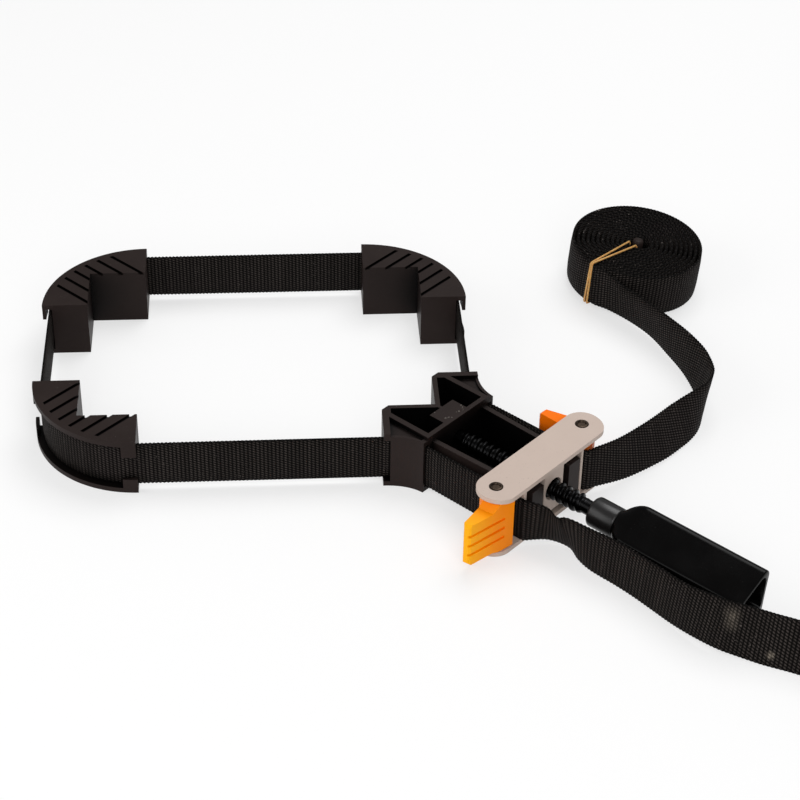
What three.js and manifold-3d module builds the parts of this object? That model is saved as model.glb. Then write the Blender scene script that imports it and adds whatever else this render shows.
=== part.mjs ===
// Corner band clamp: a fixed V jaw with a screw-driven tensioning carriage, three loose corner jaws and one
// webbing band that runs round the work, through two cam levers and away as two free tails.
// Millimetres, +Z up. X and Y run along the sides of the loop. While the pieces are made, the origin is the
// point of the fixed jaw's notch; the finished group is then moved to the middle of the clamp's footprint.

import * as THREE from 'three';
import { mergeVertices } from 'three/addons/utils/BufferGeometryUtils.js';
import loadManifold from 'manifold-3d';

const wasm = await loadManifold();
wasm.setup();

// Clearances
const SEAT_GAP = 0.3;          // between pieces that touch on the real clamp
const RUN_GAP = 0.8;           // between pieces that slide past each other
const SLOT_GAP = 0.35;         // band to the walls of its slot

// Loop and band
const LOOP_WIDTH = 179;        // between notch points along X
const LOOP_DEPTH = 128;        // between notch points along Y
const BAND_WIDTH = 25;
const BAND_THICK = 1.6;
const BAND_OFFSET = 20;        // notch face to the middle of the band, along the sides of the loop
const SIDE_OFFSET = 24.2;      // clamp axis to the middle of the band, beside the rails
const PASS_RADIUS = 28;        // bend of the band inside each wing

// Carriage that rides on the rails
const CARRIAGE_PLATE = 2.5;
const CARRIAGE_HEADROOM = 5.5; // top of the band to the underside of the top plate
const PIN_U = 67;              // pivot pins, along the clamp axis from the notch point
const PIN_OFFSET = 33.3;       // pivot pins, sideways from the clamp axis
const PIN_DIAMETER = 6.4;
const PIN_STAND = 0.4;         // rivet end above the top plate
const PLATE_END_RADIUS = 9.6;
const ANVIL_THICK = 1.8;
const ANVIL_LENGTH = 18;
const WINDOW_HEADROOM = 2.2;   // above the end of each rail
const WEB_THICK = 2.6;
const WEB_HALF_WIDTH = 9.2;    // middle of the web, between its two windows for the rails
const AXIS_RISE = 2;           // spindle above the middle of the carriage

const BAND_LIFT = CARRIAGE_PLATE + 0.5;
const BAND_TOP = BAND_LIFT + BAND_WIDTH;
const CARRIAGE_HEIGHT = BAND_TOP + CARRIAGE_HEADROOM + CARRIAGE_PLATE;
const AXIS_HEIGHT = CARRIAGE_HEIGHT / 2 + AXIS_RISE;
const BAND_INNER = SIDE_OFFSET - BAND_THICK / 2;
const BAND_OUTER = SIDE_OFFSET + BAND_THICK / 2;
const ANVIL_OUTER = BAND_INNER - SEAT_GAP;
const ANVIL_INNER = ANVIL_OUTER - ANVIL_THICK;
const WEB_REAR = PIN_U + PLATE_END_RADIUS - 1;

// Loose corner jaws
const JAW_ARM = 30;            // notch point to the end of each arm
const LIP_OVERHANG = 3.2;      // lips past the outside of the band
const JAW_PLATE = BAND_LIFT - SEAT_GAP;
const JAW_WALL = 2.6;
const GROOVE_COUNT = 6;
const GROOVE_PITCH = 7.8;
const GROOVE_WIDTH = 2;
const GROOVE_DEPTH = 1.4;
const GROOVE_RIM = 3.2;        // rim that the grooves stop at
const TAB_LENGTH = 7.5;
const TAB_THICK = 1.8;
const TOP_TAB_DROP = 9;
const BOTTOM_TAB_RISE = 8.2;
const JAW_LIP = BAND_OFFSET + BAND_THICK / 2 + LIP_OVERHANG;
const JAW_RADIUS = JAW_ARM + JAW_LIP;
const JAW_HEIGHT = BAND_TOP + SEAT_GAP + JAW_PLATE;

// Fixed jaw
const NOTCH_LENGTH = 23.5;     // each face of the V notch
const WING_CHAMFER = 3.5;
const FIXED_WALL = 2.6;
const PANEL_THICK = 2.6;       // concave outer wall that the band bears on, at the wing end
const PANEL_TIP = 1.4;         // the same wall where the band comes out
const MOUTH_LENGTH = 3.4;      // open side of the slot at the wing end
const SHELF_THICK = 1.7;       // roof over the band slot
const RIM_HEIGHT = 2.6;        // ribs and cross wall above that roof
const SHELF_LIP = 1;           // low lip round the edge of that roof
const SHELF_LIP_WIDTH = 1.3;
const CELL_FLOOR = 3;
const CROSS_U = 15.8;          // outer face of the cross wall
const RIB_OFFSET = 20.4;       // inner face of each long rib
const RIB_THICK = 3;
const BOSS_U = 4;              // thrust boss, from here to the cross wall
const BOSS_HALF_WIDTH = 8.8;
const RAIL_THICK = 2.8;
const RAIL_END = 75.2;
const RAIL_ABOVE_BAND = 1;
const RAIL_FOOT_WIDTH = 7.2;     // turned-in end of each rail
const CHANNEL_FLOOR = 2.6;
const WING_LENGTH = NOTCH_LENGTH + WING_CHAMFER;
const WING_END = BAND_OFFSET + BAND_THICK / 2 + SLOT_GAP + PANEL_THICK;
const CORNER_OFFSET = BAND_OUTER + SLOT_GAP + PANEL_TIP;
const SHELF_HEIGHT = BAND_TOP + SEAT_GAP + SHELF_THICK;
const FIXED_HEIGHT = SHELF_HEIGHT + RIM_HEIGHT;
const RAIL_OUTER = ANVIL_INNER - RUN_GAP;
const RAIL_INNER = RAIL_OUTER - RAIL_THICK;
const RAIL_BASE = CARRIAGE_PLATE + RUN_GAP;
const RAIL_TOP = BAND_TOP + RAIL_ABOVE_BAND;
const CHANNEL_TOP = RAIL_BASE + CHANNEL_FLOOR;

// Spindle and handle
const SCREW_DIAMETER = 10.4;
const TIP_DIAMETER = 8;
const TIP_LENGTH = 5;
const NECK_DIAMETER = 7;
const THREAD_PITCH = 4;
const THREAD_DEPTH = 1.4;
const THREAD_TOOTH = [[0, 0], [0.22, 1], [0.5, 1], [0.72, 0]];  // share of the pitch, share of the depth
const THREAD_FACETS = 20;
const COLLAR_FRONT = 101.6;
const NECK_LENGTH = 1.1;        // bare neck between the thread and the collar
const COLLAR_LENGTH = 15;
const COLLAR_DIAMETER = 15.5;
const GRIP_LENGTH = 77.7;
const GRIP_SIDE = 30;          // side of the three-cornered grip
const GRIP_CORNER = 3.2;
const GRIP_WALL = 2;
const GRIP_TAPER = 11;         // rounded front of the grip
const GRIP_FLOOR = 13;         // solid front before the hollow
const GRIP_TURN = 53.5;        // degrees, direction of one corner at rest
const BORE_BOTTOM = 7;         // blind end of the bore in the thrust boss
const PAD_THICK = 2;
const NUT_RADIUS = 7.5;        // to the corners
const NUT_COVER = 1.4;          // wall of the web behind the nut
const NUT_FLANGE_RADIUS = 8.4;
const NUT_FLANGE = 2.4;
const THREAD_END = COLLAR_FRONT - NECK_LENGTH;
const GRIP_FRONT = COLLAR_FRONT + COLLAR_LENGTH + SEAT_GAP;
const GRIP_REAR = GRIP_FRONT + GRIP_LENGTH;
const GRIP_REACH = GRIP_SIDE / Math.sqrt(3) - GRIP_CORNER;  // corners from the axis

// Cam levers, in the closed position: a runs along the tab, b points away from the band
const CAM_RADIUS = 6.7;
const CAM_CENTRE = [0.62, -0.7];
const HUB_CORNER = [-2.1, 9.5];
const HUB_BACK = [-5.9, 2];
const TAB_TIP = 25.2;
const TAB_TIP_OUTER = 2.2;
const TAB_TIP_INNER = -2.2;
const TAB_ROOT_INNER = [10, -2.6];
const TAB_SHOULDER = [6.5, 11];  // the tab narrows between these
const TAB_DROP = 4;
const TAB_FOOT = 1.4;
const TAB_CORNER = 2.4;
const LEVER_GROOVES = 3;
const LEVER_GROOVE_PITCH = 5.6;
const LEVER_GROOVE_WIDTH = 1.6;
const LEVER_GROOVE_DEPTH = 1.2;
const LEVER_GROOVE_SPAN = [3, 26];  // out through the tip
const FRONT_LEVER_OPEN = 97;   // degrees, as it stands at rest; the rear lever is closed

// Coil of the long tail and its tie
const COIL_CENTRE = [124.6, 154.3];
const COIL_RADIUS = 37.2;      // middle of the band where the coil starts
const COIL_PITCH = 2.75;
const COIL_TURNS = 11.5;
const COIL_START = 222;        // degrees
const COIL_STEPS = 36;         // facets in a turn
const COIL_LEAD = 3.5;         // end of the tail that already follows the coil
const COIL_LIFT = 1.5;         // the tie passes underneath
const TIE_ANGLE = 213;
const TIE_WIDTH = 2.6;
const TIE_THICK = 1.1;

// Free tails: [along, across, height of the lower edge, lean in degrees]. The front tail is measured along
// the clamp axis, and the rear tail in X and Y. A positive lean tips the upper edge to the left of the run.
const FRONT_TAIL_START = 77;
const FRONT_TAIL = [
  [81, 20.6, 3, -6], [85.5, 15.4, 2.6, -15], [91, 12.2, 1.8, -22], [97.5, 11.2, 1, -21],
  [105, 14.8, 0.6, -7.2],
];
// Beside the handle: [share of its length, distance outside its corners, height, lean]
const HANDLE_TAIL = [
  [-0.057, 2.8, 0.5, -0.5], [0.04, 3.4, 0.5, 2.8], [0.143, 3.5, 0.5, 4.4], [0.297, 4.4, 0.6, 4.4],
  [0.465, 6.4, 1, 6.5], [0.593, 8.2, 1.5, 7.4], [0.709, 9.8, 2.5, 9.5], [0.851, 10.7, 3.4, 15.5],
  [0.979, 10.3, 3.8, 19.6],
];
// Past the end of the handle: [distance past it, distance outside its corners, height, lean]
const LOOSE_TAIL = [
  [8.4, 7.5, 3.3, 25.3], [17.4, 4.3, 2.5, 28.9], [33.4, -2.2, 1.8, 26.6], [51.4, -7.4, 1, 19.9],
  [71.4, -11.7, 0.5, 13.7], [93.4, -16.1, 0.5, 4],
];
const REAR_TAIL_START = 71.5;
const REAR_TAIL = [
  [73.7, -34.7, 3, 0], [77.9, -32.7, 3, 1], [83.4, -30.4, 2.6, 3], [89.3, -27.6, 1.9, 5.9],
  [96.2, -23.9, 1.2, 10], [103.2, -19.6, 1, 13.4], [111.3, -14.2, 0.9, 17.1], [118.4, -9.1, 0.9, 20.5],
  [126.5, -1.5, 0.8, 21.2], [133.2, 5.7, 0.7, 18.5], [138.2, 13.1, 0.8, 11.2], [141.8, 23, 0.7, -3.3],
  [143.4, 35, 0.8, -11.7], [142.4, 48.6, 0.7, -11.9], [139.4, 64.7, 0.8, -5.1], [134.4, 80.4, 0.8, 2.3],
  [126.7, 100.4, 0.8, 11], [117, 113.8, 0.9, 12.2], [106.4, 123.1, 1, 5.2],
];
const TAIL_STEPS_PER_POINT = 3;

const UP = new THREE.Vector3(0, 0, 1);
const HALF_ROOT = Math.SQRT1_2;
const AXIS_TURN = -Math.PI / 4;
const DEG = Math.PI / 180;

const finish = (color, roughness, metalness = 0) => (
  new THREE.MeshStandardMaterial({ color, roughness, metalness }));
const MATERIALS = {
  moulding: finish(0x322f2e, 0.55),
  webbing: finish(0x1f1d1c, 0.9),
  paintedMetal: finish(0xc9c0b8, 0.45, 0.2),
  leverPlastic: finish(0xf9a31b, 0.45),
  steel: finish(0x5d564e, 0.35, 0.9),
  screwSteel: finish(0x161616, 0.4, 0.6),
  gripPlastic: finish(0x141415, 0.25),
  rubber: finish(0xd9a45f, 0.6),
};

// Clamp axis to loop: u runs from the notch point to the handle, w to the rear side
const fromAxis = (u, w) => [(u + w) * HALF_ROOT, (w - u) * HALF_ROOT];
const acrossAxis = ([x, y]) => [-y, -x];

const vectors = (points) => points.map(([x, y]) => new THREE.Vector2(x, y));
const outline = (points) => new THREE.Shape(vectors(points));

function extrude(shape, low, high, curveSegments = 12) {
  const settings = { depth: high - low, bevelEnabled: false, curveSegments };
  const geometry = new THREE.ExtrudeGeometry(shape, settings);
  return geometry.translate(0, 0, low);
}

function box(low, high) {
  const size = high.map((value, k) => value - low[k]);
  const middle = high.map((value, k) => (value + low[k]) / 2);
  return new THREE.BoxGeometry(...size).translate(...middle);
}

// A round bar along u from a profile of [radius, u] pairs that starts and ends on the axis
function turned(profile, segments = 32) {
  const geometry = new THREE.LatheGeometry(vectors(profile), segments);
  return geometry.rotateZ(-Math.PI / 2).translate(0, 0, AXIS_HEIGHT);
}

const rod = (radius, from, to, segments) => (
  turned([[0, from], [radius, from], [radius, to], [0, to]], segments));

function post(radius, low, high, [x, y] = [0, 0], segments = 32) {
  const geometry = new THREE.CylinderGeometry(radius, radius, high - low, segments);
  return geometry.rotateX(Math.PI / 2).translate(x, y, (low + high) / 2);
}

// One vertex for each corner, without the empty triangles that a lathe leaves on its axis
function welded(geometry) {
  const bare = new THREE.BufferGeometry();
  bare.setAttribute('position', geometry.getAttribute('position'));
  bare.setIndex(geometry.index);
  const merged = mergeVertices(bare, 1e-4);
  const kept = [];
  const order = merged.index.array;
  for (let k = 0; k < order.length; k += 3) {
    const [a, b, c] = order.slice(k, k + 3);
    if (a !== b && b !== c && c !== a) kept.push(a, b, c);
  }
  merged.setIndex(kept);
  return merged;
}

function solidOf(geometry) {
  const merged = welded(geometry);
  return new wasm.Manifold(new wasm.Mesh({
    numProp: 3,
    vertProperties: new Float32Array(merged.getAttribute('position').array),
    triVerts: new Uint32Array(merged.index.array),
  }));
}

function geometryOf(solid) {
  const mesh = solid.getMesh();
  const geometry = new THREE.BufferGeometry();
  geometry.setAttribute('position', new THREE.Float32BufferAttribute(mesh.vertProperties, 3));
  geometry.setIndex(new THREE.BufferAttribute(mesh.triVerts, 1));
  return geometry;
}

const join = (...geometries) => geometries.map(solidOf).reduce((a, b) => a.add(b));
const cut = (solid, ...geometries) => geometries.map(solidOf).reduce((a, b) => a.subtract(b), solid);

// The same cutter on the other side of the clamp axis
function twin(geometry) {
  const swapped = welded(geometry.clone());
  swapped.applyMatrix4(new THREE.Matrix4().set(0, -1, 0, 0, -1, 0, 0, 0, 0, 0, 1, 0, 0, 0, 0, 1));
  const order = swapped.index.array;
  for (let k = 0; k < order.length; k += 3) [order[k], order[k + 1]] = [order[k + 1], order[k]];
  return swapped;
}

function piece(name, geometry, material) {
  const shell = welded(geometry);
  shell.computeVertexNormals();
  const mesh = new THREE.Mesh(shell, material);
  mesh.name = name;
  return mesh;
}

// Band as a flat strip: each frame has the middle of its lower edge and the direction across its width
function ribbon(frames) {
  const positions = [];
  const triangles = [];
  frames.forEach(({ foot, across }, k) => {
    const before = frames[Math.max(k - 1, 0)].foot;
    const after = frames[Math.min(k + 1, frames.length - 1)].foot;
    const side = new THREE.Vector3().subVectors(after, before).cross(across).normalize();
    for (const [rise, shift] of [[0, -1], [0, 1], [1, 1], [1, -1]]) {
      const corner = foot.clone().addScaledVector(across, rise * BAND_WIDTH);
      corner.addScaledVector(side, (shift * BAND_THICK) / 2);
      positions.push(corner.x, corner.y, corner.z);
    }
    if (k === 0) return;
    for (let edge = 0; edge < 4; edge++) {
      const [a, b] = [4 * (k - 1) + edge, 4 * (k - 1) + ((edge + 1) % 4)];
      triangles.push(a, a + 4, b + 4, a, b + 4, b);
    }
  });
  const last = 4 * (frames.length - 1);
  triangles.push(0, 1, 2, 0, 2, 3, last, last + 2, last + 1, last, last + 3, last + 2);
  const geometry = new THREE.BufferGeometry();
  geometry.setAttribute('position', new THREE.Float32BufferAttribute(positions, 3));
  geometry.setIndex(triangles);
  return geometry;
}

const upright = (x, y, z = BAND_LIFT) => ({ foot: new THREE.Vector3(x, y, z), across: UP });
const straightBand = (from, to) => ribbon([upright(...from), upright(...to)]);

function bandArc([cx, cy], radius, from, to, steps) {
  const frames = [];
  for (let k = 0; k <= steps; k++) {
    const angle = from + ((to - from) * k) / steps;
    frames.push(upright(cx + radius * Math.cos(angle), cy + radius * Math.sin(angle)));
  }
  return ribbon(frames);
}

// Fixed jaw: V notch, open cells, boss, band slots under a lower shelf, and the two rails
function fixedJaw() {
  const front = [[-NOTCH_LENGTH, 0], [-WING_LENGTH, -WING_CHAMFER], [-WING_LENGTH, -WING_END]];
  const corner = fromAxis(CROSS_U, -CORNER_OFFSET);
  const bend = [corner[0] - WING_CHAMFER * 2, -WING_END];
  const plan = outline([[0, 0], ...front]);
  plan.quadraticCurveTo(...bend, ...corner);
  plan.lineTo(...acrossAxis(corner));
  plan.quadraticCurveTo(...acrossAxis(bend), ...acrossAxis(front[2]));
  plan.lineTo(...acrossAxis(front[1]));
  plan.lineTo(...acrossAxis(front[0]));

  const crossInner = CROSS_U - FIXED_WALL;
  const wallInner = FIXED_WALL * Math.SQRT2;
  const ribInner = -RIB_OFFSET * Math.SQRT2;
  const cellEnd = 1 - NOTCH_LENGTH;
  const web = FIXED_WALL / 3;
  const cell = extrude(outline([
    [cellEnd, -FIXED_WALL], [cellEnd, ribInner - cellEnd], fromAxis(crossInner, -RIB_OFFSET),
    fromAxis(crossInner, -BOSS_HALF_WIDTH), fromAxis(BOSS_U, -BOSS_HALF_WIDTH), fromAxis(BOSS_U, -web),
    fromAxis(wallInner - web, -web),
  ]), CELL_FLOOR, FIXED_HEIGHT + 1);

  const ribOuter = RIB_OFFSET + RIB_THICK;
  const shelfEnd = MOUTH_LENGTH - WING_LENGTH;
  const shelfStart = [shelfEnd, -ribOuter * Math.SQRT2 - shelfEnd];
  const shelf = extrude(outline([
    shelfStart, [shelfEnd, -WING_END - 1],
    fromAxis(CROSS_U + 1, -CORNER_OFFSET - 1), fromAxis(CROSS_U + 1, -ribOuter),
  ]), SHELF_HEIGHT + SHELF_LIP, FIXED_HEIGHT + 1);
  const lipCorner = fromAxis(crossInner, SHELF_LIP_WIDTH - CORNER_OFFSET);
  const trayPlan = outline([shelfStart, [shelfEnd, SHELF_LIP_WIDTH - WING_END]]);
  trayPlan.quadraticCurveTo(bend[0], SHELF_LIP_WIDTH - WING_END, ...lipCorner);
  trayPlan.lineTo(...fromAxis(crossInner, -ribOuter));
  const tray = extrude(trayPlan, SHELF_HEIGHT, FIXED_HEIGHT, 8);

  const mouth = box([-WING_LENGTH - 1, -WING_END - 1, BAND_LIFT - SEAT_GAP],
    [shelfEnd, -BAND_OFFSET, BAND_TOP + SEAT_GAP]);

  const rails = [-1, 1].map((side) => {
    const [near, far] = [side * RAIL_INNER, side * RAIL_OUTER].sort((a, b) => a - b);
    const foot = [side * (RAIL_OUTER - RAIL_FOOT_WIDTH), side * RAIL_OUTER].sort((a, b) => a - b);
    return [
      box([CROSS_U - 1, near, RAIL_BASE], [RAIL_END, far, RAIL_TOP]),
      box([RAIL_END - RAIL_THICK, foot[0], RAIL_BASE], [RAIL_END, foot[1], RAIL_TOP]),
    ];
  }).flat();
  const floorEdge = RAIL_OUTER - 0.5;
  const floor = box([CROSS_U - 1, -floorEdge, RAIL_BASE], [RAIL_END - 1, floorEdge, CHANNEL_TOP]);
  const bore = rod(TIP_DIAMETER / 2 + SEAT_GAP, BORE_BOTTOM, CROSS_U + 1);

  const slot = bandSlot();
  const cutters = [cell, shelf, tray, mouth, slot].flatMap((cutter) => [cutter, twin(cutter)]);
  const head = cut(solidOf(extrude(plan, 0, FIXED_HEIGHT)), ...cutters);
  const long = [...rails, floor].map((geometry) => geometry.rotateZ(AXIS_TURN));
  return geometryOf(cut(head.add(join(...long)), bore.rotateZ(AXIS_TURN)));
}

// Centre of the band's bend in the front wing, and where the bend begins
const PASS_START = -(SIDE_OFFSET * Math.SQRT2 - BAND_OFFSET + PASS_RADIUS * (Math.SQRT2 - 1));
const PASS_CENTRE = [PASS_START, -BAND_OFFSET - PASS_RADIUS];
const PASS_EXIT_U = (PASS_CENTRE[0] - PASS_CENTRE[1]) * HALF_ROOT;

function bandSlot() {
  const half = BAND_THICK / 2 + SLOT_GAP;
  const [cx, cy] = PASS_CENTRE;
  const run = WING_LENGTH;
  const shape = new THREE.Shape();
  shape.moveTo(PASS_START - run, -BAND_OFFSET + half);
  shape.absarc(cx, cy, PASS_RADIUS + half, Math.PI / 2, Math.PI / 4, true);
  const [ux, uy] = fromAxis(run, 0);
  for (const radius of [PASS_RADIUS + half, PASS_RADIUS - half]) {
    shape.lineTo(cx + radius * HALF_ROOT + ux, cy + radius * HALF_ROOT + uy);
  }
  shape.absarc(cx, cy, PASS_RADIUS - half, Math.PI / 4, Math.PI / 2, false);
  shape.lineTo(PASS_START - run, -BAND_OFFSET - half);
  return extrude(shape, BAND_LIFT - SEAT_GAP, BAND_TOP + SEAT_GAP, 8);
}

// Loose corner jaw: quarter round with a square notch, two lipped plates and the wall that the band wraps
function looseJaw() {
  const pivot = [JAW_ARM, JAW_ARM];
  const wallRadius = JAW_ARM + BAND_OFFSET - BAND_THICK / 2 - SEAT_GAP;
  const plan = outline([[0, 0], [0, JAW_ARM], [-JAW_LIP, JAW_ARM]]);
  plan.absarc(...pivot, JAW_RADIUS, Math.PI, 1.5 * Math.PI, false);
  plan.lineTo(JAW_ARM, 0);

  const reach = JAW_RADIUS + 5;
  const around = box([JAW_ARM - reach, JAW_ARM - reach, JAW_PLATE],
    [JAW_ARM + 1, JAW_ARM + 1, JAW_HEIGHT - JAW_PLATE]);
  const channel = cut(solidOf(around), post(wallRadius, 0, JAW_HEIGHT, pivot, 96));

  const inner = wallRadius - JAW_WALL;
  const lean = Math.asin(JAW_WALL / inner);
  const armInner = JAW_ARM - JAW_WALL;
  const hollow = outline([[-JAW_WALL, armInner], [-JAW_WALL, -JAW_WALL], [armInner, -JAW_WALL]]);
  hollow.absarc(...pivot, inner, 1.5 * Math.PI - lean, Math.PI + lean, true);
  const rib = box([-JAW_RADIUS, -JAW_WALL / 2, 0], [0, JAW_WALL / 2, JAW_HEIGHT]).rotateZ(Math.PI / 4);
  const pocket = cut(solidOf(extrude(hollow, -1, JAW_HEIGHT - JAW_PLATE, 20)), rib);

  const grooveLine = [...Array(GROOVE_COUNT).keys()].map((k) => (k - (GROOVE_COUNT - 1) / 2) * GROOVE_PITCH);
  const bars = grooveLine.map((offset) => (
    box([-JAW_RADIUS, offset - GROOVE_WIDTH / 2, JAW_HEIGHT - GROOVE_DEPTH],
      [JAW_RADIUS, offset + GROOVE_WIDTH / 2, JAW_HEIGHT + 1]).rotateZ(Math.PI / 4)));
  const insideRim = post(JAW_RADIUS - GROOVE_RIM, 0, 2 * JAW_HEIGHT, pivot, 96);
  const grooves = join(...bars).intersect(solidOf(insideRim));

  const span = TAB_LENGTH / JAW_RADIUS;
  const tabs = [Math.PI, 1.5 * Math.PI - span].flatMap((from) => {
    const shape = new THREE.Shape();
    shape.absarc(...pivot, JAW_RADIUS, from, from + span, false);
    shape.absarc(...pivot, JAW_RADIUS - TAB_THICK, from + span, from, true);
    return [
      extrude(shape, JAW_PLATE / 2, BOTTOM_TAB_RISE, 3),
      extrude(shape, JAW_HEIGHT - TOP_TAB_DROP, JAW_HEIGHT - JAW_PLATE / 2, 3),
    ];
  });
  const body = solidOf(extrude(plan, 0, JAW_HEIGHT, 24)).subtract(channel).subtract(pocket).subtract(grooves);
  return geometryOf(body.add(join(...tabs)));
}

const jawWrap = () => bandArc([JAW_ARM, JAW_ARM], JAW_ARM + BAND_OFFSET, Math.PI, 1.5 * Math.PI, 18);

// Round-ended plate with two pin holes
function carriagePlate(low, high) {
  const shape = new THREE.Shape();
  shape.absarc(PIN_U, PIN_OFFSET, PLATE_END_RADIUS, 0, Math.PI, false);
  shape.absarc(PIN_U, -PIN_OFFSET, PLATE_END_RADIUS, Math.PI, 2 * Math.PI, false);
  for (const side of [-1, 1]) {
    const hole = new THREE.Path();
    hole.absarc(PIN_U, side * PIN_OFFSET, PIN_DIAMETER / 2 + SEAT_GAP, 0, 2 * Math.PI, true);
    shape.holes.push(hole);
  }
  return extrude(shape, low, high, 16);
}

// Cross web over the rails with the nut's seat, and an anvil wall behind each band
function carriageWeb() {
  const low = CARRIAGE_PLATE + SEAT_GAP;
  const high = CARRIAGE_HEIGHT - CARRIAGE_PLATE - SEAT_GAP;
  const front = WEB_REAR - WEB_THICK;
  const anvils = [[-ANVIL_OUTER, -ANVIL_INNER], [ANVIL_INNER, ANVIL_OUTER]].map(([near, far]) => (
    box([WEB_REAR - ANVIL_LENGTH, near, low], [WEB_REAR, far, high])));
  const bridge = box([front, -ANVIL_OUTER, RAIL_TOP + WINDOW_HEADROOM], [WEB_REAR, ANVIL_OUTER, high]);
  const middle = box([front, -WEB_HALF_WIDTH, CHANNEL_TOP + RUN_GAP], [WEB_REAR, WEB_HALF_WIDTH, high]);
  const seat = rod(NUT_RADIUS + SEAT_GAP, front - 1, WEB_REAR - NUT_COVER, 6);
  const passage = rod(SCREW_DIAMETER / 2 + RUN_GAP, WEB_REAR - NUT_COVER - 1, WEB_REAR + 1);
  return geometryOf(cut(join(...anvils, bridge, middle), seat, passage));
}

function spindleNut() {
  const flangeRear = WEB_REAR - WEB_THICK - SEAT_GAP;
  const flange = rod(NUT_FLANGE_RADIUS, flangeRear - NUT_FLANGE, flangeRear);
  const rear = WEB_REAR - NUT_COVER - SEAT_GAP;
  const hexagon = rod(NUT_RADIUS, flangeRear - NUT_FLANGE / 2, rear, 6);
  const bore = rod(SCREW_DIAMETER / 2 + SEAT_GAP, flangeRear - NUT_FLANGE - 1, rear + 1);
  return geometryOf(cut(join(flange, hexagon), bore));
}

const TIP_FRONT = BORE_BOTTOM + PAD_THICK + 2 * SEAT_GAP;
const SHANK_END = COLLAR_FRONT + COLLAR_LENGTH - 3.5;

// Spindle: plain tip, threaded length and neck. The tooth follows a helix, so the end of each row of points
// is the start of the row one turn further on, and it fades over one turn at both ends.
function spindleScrew() {
  const [tip, neck] = [TIP_DIAMETER / 2, NECK_DIAMETER / 2];
  const core = SCREW_DIAMETER / 2 - THREAD_DEPTH;
  const front = TIP_FRONT + TIP_LENGTH;
  const columns = [...Array(THREAD_FACETS).keys()];
  const positions = [];
  const triangles = [];
  const point = (radius, u, share) => {
    const angle = 2 * Math.PI * share;
    positions.push(u, radius * Math.cos(angle), AXIS_HEIGHT + radius * Math.sin(angle));
    return positions.length / 3 - 1;
  };
  const strip = (a, b) => {
    for (let k = 0; k + 1 < a.length; k++) triangles.push(a[k], b[k + 1], b[k], a[k], a[k + 1], b[k + 1]);
  };
  const fan = (centre, rim) => {
    for (let k = 0; k + 1 < rim.length; k++) triangles.push(centre, rim[k + 1], rim[k]);
  };
  const ring = (radius, u) => {
    const made = columns.map((k) => point(radius, u, k / THREAD_FACETS));
    return [...made, made[0]];
  };
  const ramp = (distance) => Math.min(1, Math.max(0, distance / THREAD_PITCH));
  const toothPoint = (row, share) => {
    const [along, height] = THREAD_TOOTH[row % THREAD_TOOTH.length];
    const u = front + THREAD_PITCH * (Math.floor(row / THREAD_TOOTH.length) + along + share);
    const fade = Math.min(ramp(u - front - THREAD_PITCH), ramp(THREAD_END - THREAD_PITCH - u));
    return point(core + THREAD_DEPTH * height * fade, u, share);
  };

  const turns = Math.floor((THREAD_END - front) / THREAD_PITCH) - 2;
  const last = turns * THREAD_TOOTH.length;
  const seam = [...Array(last + THREAD_TOOTH.length + 1).keys()].map((row) => toothPoint(row, 0));
  const rows = [...Array(last + 1).keys()].map((row) => {
    const between = columns.slice(1).map((k) => toothPoint(row, k / THREAD_FACETS));
    return [seam[row], ...between, seam[row + THREAD_TOOTH.length]];
  });
  const plain = [
    ring(tip - 0.8, TIP_FRONT), ring(tip, TIP_FRONT + 0.8), ring(tip, front - 0.6), ring(core, front - 0.2),
  ];
  const rear = [ring(core, THREAD_END), ring(neck, THREAD_END + 0.4), ring(neck, SHANK_END)];
  for (const list of [plain, rows, rear]) {
    for (let k = 0; k + 1 < list.length; k++) strip(list[k], list[k + 1]);
  }
  const [before, after] = [plain.at(-1), rear[0]];
  strip(before.slice(0, -1), rows[0].slice(0, -1));
  fan(rows[0].at(-2), [...seam.slice(0, THREAD_TOOTH.length + 1).reverse(), ...before.slice(-2).reverse()]);
  strip(rows[last].slice(1), after.slice(1));
  fan(rows[last][1], [...seam.slice(last), ...after.slice(0, 2)]);
  fan(point(0, TIP_FRONT, 0), plain[0]);
  fan(point(0, SHANK_END, 0), [...rear.at(-1)].reverse());
  const geometry = new THREE.BufferGeometry();
  geometry.setAttribute('position', new THREE.Float32BufferAttribute(positions, 3));
  geometry.setIndex(triangles);
  return geometry;
}

function handleCollar() {
  const [outer, hole] = [COLLAR_DIAMETER / 2, NECK_DIAMETER / 2 + SEAT_GAP];
  const rear = COLLAR_FRONT + COLLAR_LENGTH;
  return turned([
    [0, SHANK_END + SEAT_GAP], [hole, SHANK_END + SEAT_GAP], [hole, COLLAR_FRONT],
    [outer - 1.2, COLLAR_FRONT], [outer, COLLAR_FRONT + 1.2], [outer, rear], [0, rear],
  ]);
}

// Rounded triangle in the plane across the spindle, one corner towards GRIP_TURN
function gripSection(side) {
  const shape = new THREE.Shape();
  const toCentre = side / Math.sqrt(3) - 2 * GRIP_CORNER;
  for (let k = 0; k < 3; k++) {
    const angle = (GRIP_TURN + 90 + 120 * k) * DEG;
    shape.absarc(toCentre * Math.cos(angle), toCentre * Math.sin(angle), GRIP_CORNER,
      angle - Math.PI / 3, angle + Math.PI / 3, false);
  }
  return shape;
}

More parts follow.
